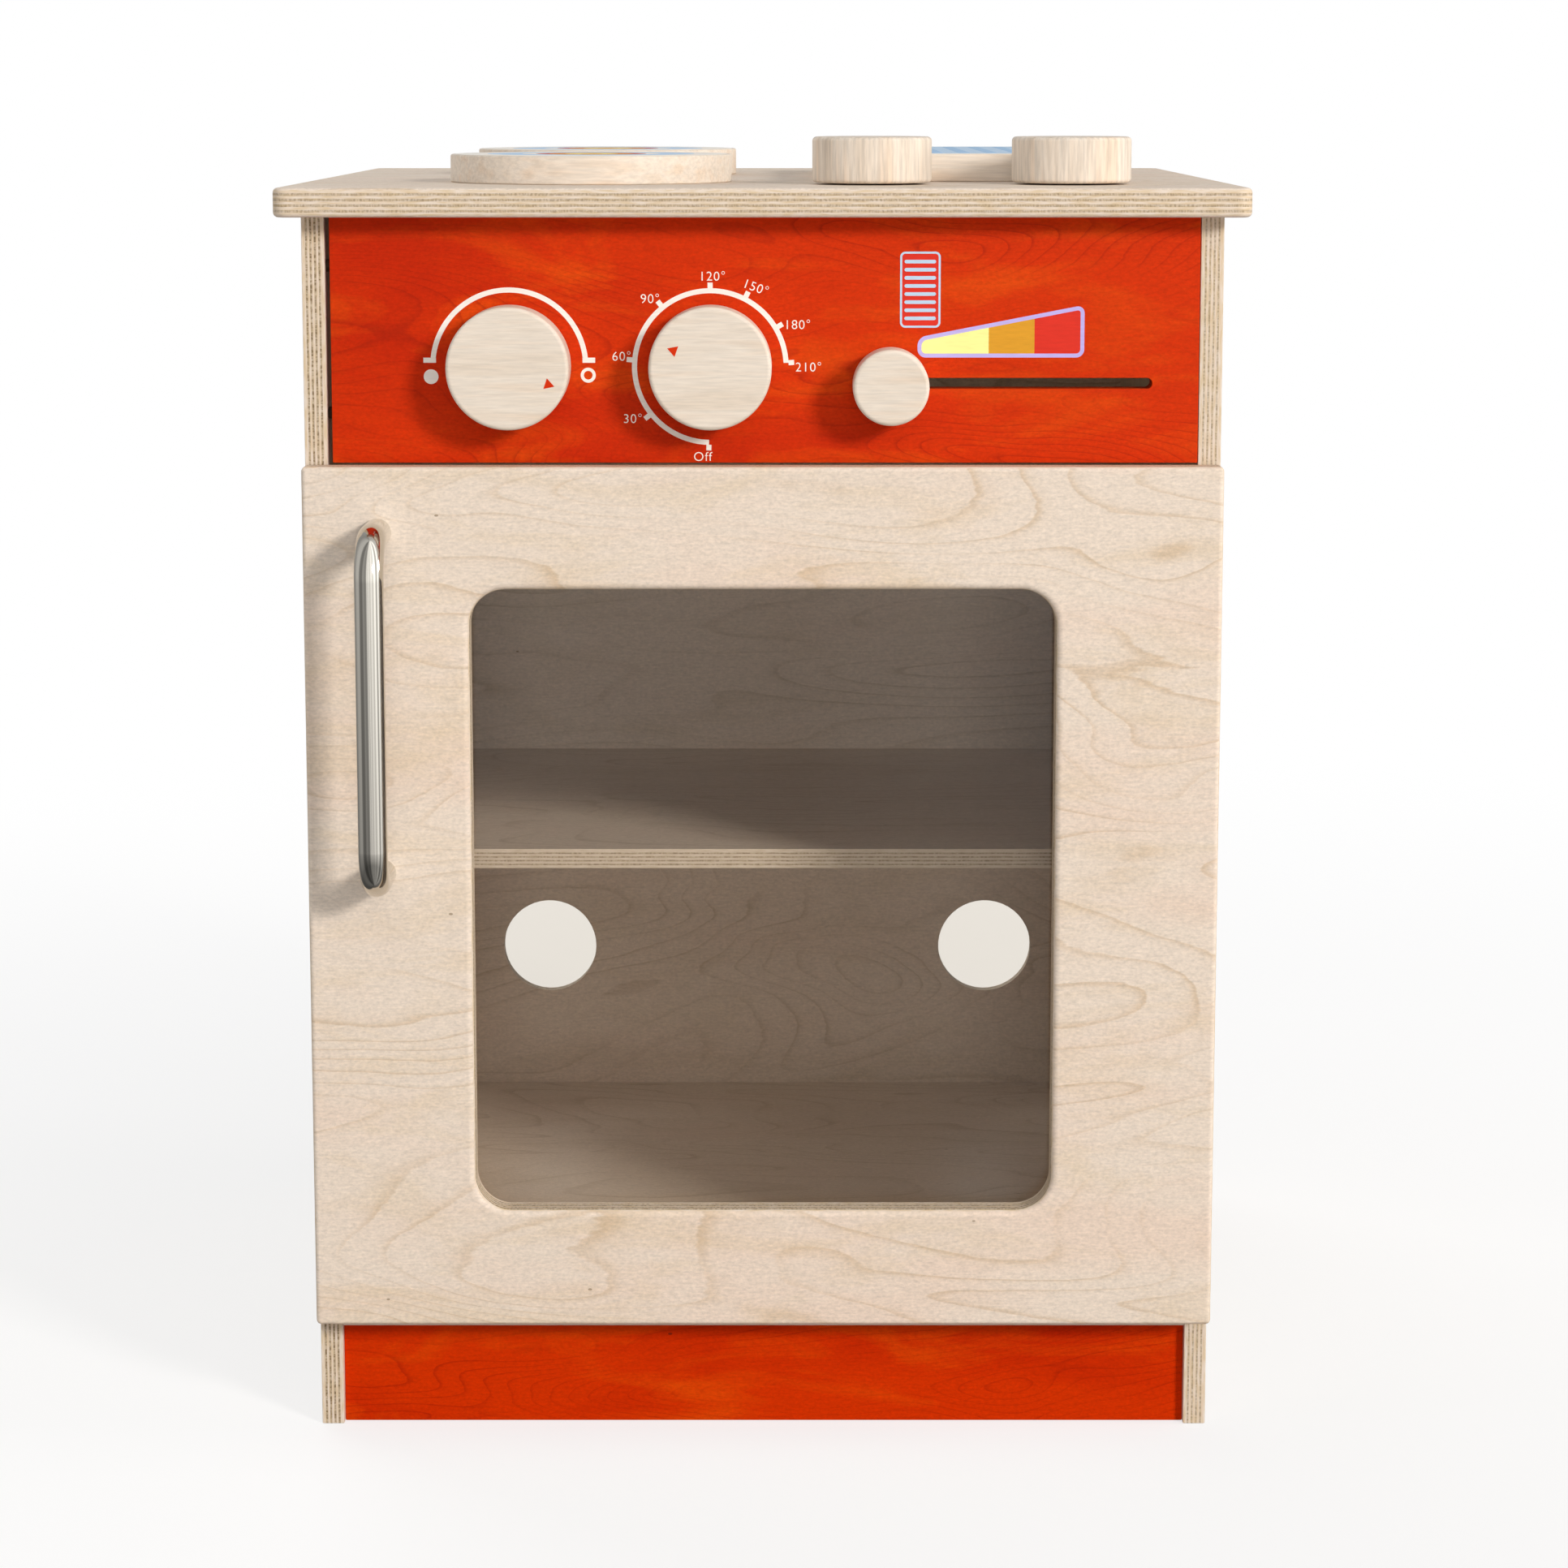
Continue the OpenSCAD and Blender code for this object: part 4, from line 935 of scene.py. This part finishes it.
def area_light(name, place, target, size, power, code="#FFFFFF", mirrored=True):
    """A square studio light that faces a point, out of sight itself and, if wished, in mirrors too"""
    only(None)
    bpy.ops.object.light_add(type="AREA", location=place)
    lamp = bpy.context.object
    lamp.name = name
    lamp.data.shape = "SQUARE"
    lamp.data.size = size
    lamp.data.energy = power
    lamp.data.color = srgb(code)[:3]
    lamp.visible_camera = False
    lamp.visible_glossy = mirrored
    lamp.rotation_euler = (Vector(target) - Vector(place)).to_track_quat("-Z", "Y").to_euler()


FLOOR_SIDE = 80              # in metres, so that its edge is never seen


def make_floor():
    """White paper sweep. It looks white, but throws back little light and is not seen in mirrors"""
    only(None)
    bpy.ops.mesh.primitive_plane_add(size=FLOOR_SIDE)
    floor = named("studio_floor")
    material, tree = new_material("white_paper_sweep")
    place = add(tree, "TexCoord").outputs["Object"]
    cloud = add(tree, "TexNoise", {"Vector": place, "Scale": 2.0, "Detail": 2.0})
    tone = add(tree, "ValToRGB", {"Fac": cloud},
               stops=[(0.3, srgb("#F4F3F1")), (0.7, srgb("#F8F7F5"))])
    paper = add(tree, "BsdfDiffuse", {"Color": tone})
    # From 0.2 m out, the paper turns to pure white by 1.6 m, as a sweep does under background light
    away = add(tree, "VectorMath", {0: place}, operation="LENGTH")
    bright = add(tree, "MapRange", {"Value": away.outputs["Value"], "From Min": 0.2, "From Max": 1.6,
                                    "To Min": 0.7, "To Max": 1.0}, interpolation_type="SMOOTHSTEP")
    glow = add(tree, "Emission", {"Color": srgb("#FFFFFF"), "Strength": 1.0})
    white = add(tree, "MixShader", {0: bright, 1: paper, 2: glow})
    dim = add(tree, "BsdfDiffuse", {"Color": srgb("#A39F9A")})
    ray = add(tree, "LightPath")
    seen = add(tree, "MixShader", {0: ray.outputs["Is Camera Ray"], 1: dim, 2: white})
    gone = add(tree, "BsdfTransparent")
    show(tree, add(tree, "MixShader", {0: ray.outputs["Is Glossy Ray"], 1: seen, 2: gone}))
    floor.data.materials.append(material)


def make_surroundings():
    """White backdrop, a soft even sky for matt surfaces, and soft boxes and gaps for mirrors"""
    world = bpy.data.worlds.new("studio_surroundings")
    bpy.context.scene.world = world
    world.use_nodes = True
    tree = world.node_tree
    tree.nodes.clear()
    way = add(tree, "SeparateXYZ", {"Vector": add(tree, "TexCoord").outputs["Generated"]})
    # The turn goes clockwise from above: 0 in front of the oven, 0.25 left of it, 0.75 right of it
    compass = add(tree, "Math", {0: way.outputs["X"], 1: way.outputs["Y"]}, operation="ARCTAN2")
    turn = add(tree, "MapRange", {"Value": compass, "From Min": -math.pi, "From Max": math.pi})
    boxes = add(tree, "ValToRGB", {"Fac": turn}, stops=[
        (0.000, 0.45), (0.020, 0.72), (0.045, 0.24), (0.070, 0.18), (0.105, 0.26), (0.140, 0.13),
        (0.190, 0.14), (0.225, 0.36), (0.290, 0.34), (0.350, 0.18), (0.500, 0.34), (0.660, 0.30),
        (0.720, 0.42), (0.752, 0.44), (0.762, 1.00), (0.785, 1.00), (0.797, 0.42), (0.825, 0.40),
        (0.838, 1.00), (0.870, 1.00), (0.882, 0.60), (0.905, 0.62), (0.922, 0.84), (0.940, 0.82),
        (0.952, 0.58), (0.972, 0.58), (0.984, 0.88), (1.000, 0.45)])
    # Lower down they fade out
    fall = add(tree, "ValToRGB", {"Fac": add(tree, "MapRange", {
        "Value": way.outputs["Z"], "From Min": -0.6, "From Max": 0.0})}, stops=[
            (0.0, 0.22), (0.62, 0.5), (0.8, 0.9), (1.0, 1.0)])
    both = add(tree, "Mix", {"Factor": 1.0, "A": boxes, "B": fall}, data_type="RGBA",
               blend_type="MULTIPLY")
    mirror = add(tree, "Background", {"Color": both, "Strength": 2.0})
    rise = add(tree, "MapRange", {"Value": way.outputs["Z"], "From Min": -0.2, "From Max": 1.0,
                                  "To Min": 0.13, "To Max": 0.30})
    sky = add(tree, "Background", {"Color": srgb("#F8FAFF"), "Strength": rise})
    backdrop = add(tree, "Background", {"Color": srgb("#FFFFFF"), "Strength": 1.0})
    ray = add(tree, "LightPath")
    lit = add(tree, "MixShader", {0: ray.outputs["Is Glossy Ray"], 1: sky, 2: mirror})
    seen = add(tree, "MixShader", {0: ray.outputs["Is Camera Ray"], 1: lit, 2: backdrop})
    add(tree, "OutputWorld", {"Surface": seen})


def make_studio():
    """Key light from the upper right, rim light, three fills in front and on the left, back light"""
    make_floor()
    make_surroundings()
    aim = (0, -0.17, 0.27)
    area_light("key_light", (4.32, -4.97, 2.91), aim, 1.25, 340, "#FFFAF5")
    area_light("rim_light", (2.4, -0.15, 0.95), (0, -0.1, 0.53), 0.5, 14)
    area_light("overhead_fill", (0.1, -2.4, 1.95), aim, 2.0, 13, mirrored=False)
    area_light("low_fill", (0.1, -3.2, 0.45), aim, 0.5, 12, mirrored=False)
    area_light("left_fill", (-2.6, -0.5, 1.0), (0, -0.1, 0.35), 1.4, 14, mirrored=False)
    area_light("back_light", (-1.6, 2.8, 1.6), (0, 0, 0.3), 2.8, 66, mirrored=False)
    bpy.context.scene.view_settings.view_transform = "Standard"
    bpy.context.scene.view_settings.look = "None"


make_camera()
make_studio()

make_worktop()
for board, number, share, strength in (
        ("side_panel_left", 3, 0.5, 1.0), ("side_panel_right", 4, 0.45, 0.7)):
    sawn_board(board, "carcass", "birch_plywood",
               plywood("birch_plywood_" + board, board, X, Z, BIRCH, number, dark_share=share,
                       contrast=strength))
# The bottom and the shelf take the paler inner birch, whose paleness is painted light for the dim
# inside
for board, number in (("bottom_panel", 6), ("oven_shelf", 7)):
    sawn_board(board, "carcass", "birch_plywood",
               plywood("birch_plywood_" + board, board, Z, X, PAINTED_BRIGHT_INNER_BIRCH, number, dark_share=0.4,
                       contrast=0.8, gloss=0.5, roughness=(0.42, 0.30)))
sawn_board("kickboard", "carcass", "red_stained_plywood",
           plywood("red_stained_plywood_kickboard", "kickboard", Y, X, RED, 8, rings=56,
                   line_strength=0.5, patch_strength=0.8, gloss=0.04))
# The back panel takes the same paler inner birch: painted light for the dim inside
keep(plywood("birch_plywood_back", "back_panel", Y, X, PAINTED_BRIGHT_INNER_BIRCH, 10, dark_plies=2, outer_ply=0.2),
     "back_panel")
make_control_panel()
make_hob_disc("hob_disc_front", 1)
make_hob_disc("hob_disc_rear", 2)
make_griddle()

make_door_panel()
make_handle()
keep(acrylic("clear_acrylic"), "window_pane")

dial_birch = solid_birch("turned_birch_dials", X, 3, line_mm=1.0, strength=0.45)
top_birch = solid_birch("turned_birch_worktop_knobs", Z, 4, strength=0.75)
for knob in ("power_knob", "temperature_knob"):
    make_knob(knob, knob, Y, dial_birch)
make_knob("slider_knob", "heat_slider", Y, dial_birch)
for knob in ("hob_knob_left", "hob_knob_right"):
    make_knob(knob, knob, Z, top_birch)

red_ink = ink("red_ink", "#DF3A2C")
white_ink = ink("white_ink", "#F6F1E8")
blue_ink = ink("pale_blue_ink", "#C2DAF0")
yellow_ink = ink("yellow_ink", "#FDFBA0")
orange_ink = ink("orange_ink", "#E0A033")
knob_red_ink = ink("knob_red_ink", "#D5340F")
make_pointer("power_knob", "power_knob", *POWER_POINTER, knob_red_ink)
make_pointer("temperature_knob", "temperature_knob", *TEMPERATURE_POINTER, knob_red_ink)
panel_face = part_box("control_panel")[0].y
make_dial_prints(panel_face, white_ink)
make_icon_prints(panel_face, blue_ink, red_ink, ink("lilac_ink", "#C4B6F0"), yellow_ink, orange_ink)
dark_red_ink = ink("dark_red_ink", "#B23A28")
hob_inks = [white_ink, blue_ink, white_ink, dark_red_ink, orange_ink, yellow_ink, orange_ink]
for hob in ("hob_disc_front", "hob_disc_rear"):
    make_hob_print(hob, hob_inks)
make_griddle_print(white_ink, blue_ink, ink("sky_blue_ink", "#A9CAE8"))

zinc = metal("bright_zinc_plate", "#C7C9CC", 0.28, X)
nickel = metal("satin_nickel_plate", "#BDBBB4", 0.33, Z)
keep(zinc, "worktop_screws", "back_screws", "hob_screws", "bolt_washers", "hinge_frame_screws",
     "catch_screws", "pane_screws", "handle_screws", "hinge_door_screws", "strike_screws",
     "power_bolt", "temperature_bolt", "hob_bolt_left", "hob_bolt_right", "slider_stem")
keep(nickel, "upper_hinge_frame_leaf", "lower_hinge_frame_leaf", "upper_hinge_pin", "lower_hinge_pin",
     "upper_hinge_door_leaf", "lower_hinge_door_leaf", "strike_plate", "catch_magnet")
keep(felt("wool_felt"), "glide_washers", "slider_glide")
keep(moulded_plastic("brown_moulded_plastic", "#6B5440"), "catch_housing")
keep(solid_birch("birch_dowel", Y, 5), "worktop_plugs", "slider_guide")
# The dowels that show in the gaps beside the red panel are near black: painted shade that keeps those
# gaps dark
keep(solid_birch("shade_dark_birch_dowel", X, 6, tones=("#3A2B20", "#46352A", "#33261D")), "panel_dowels")
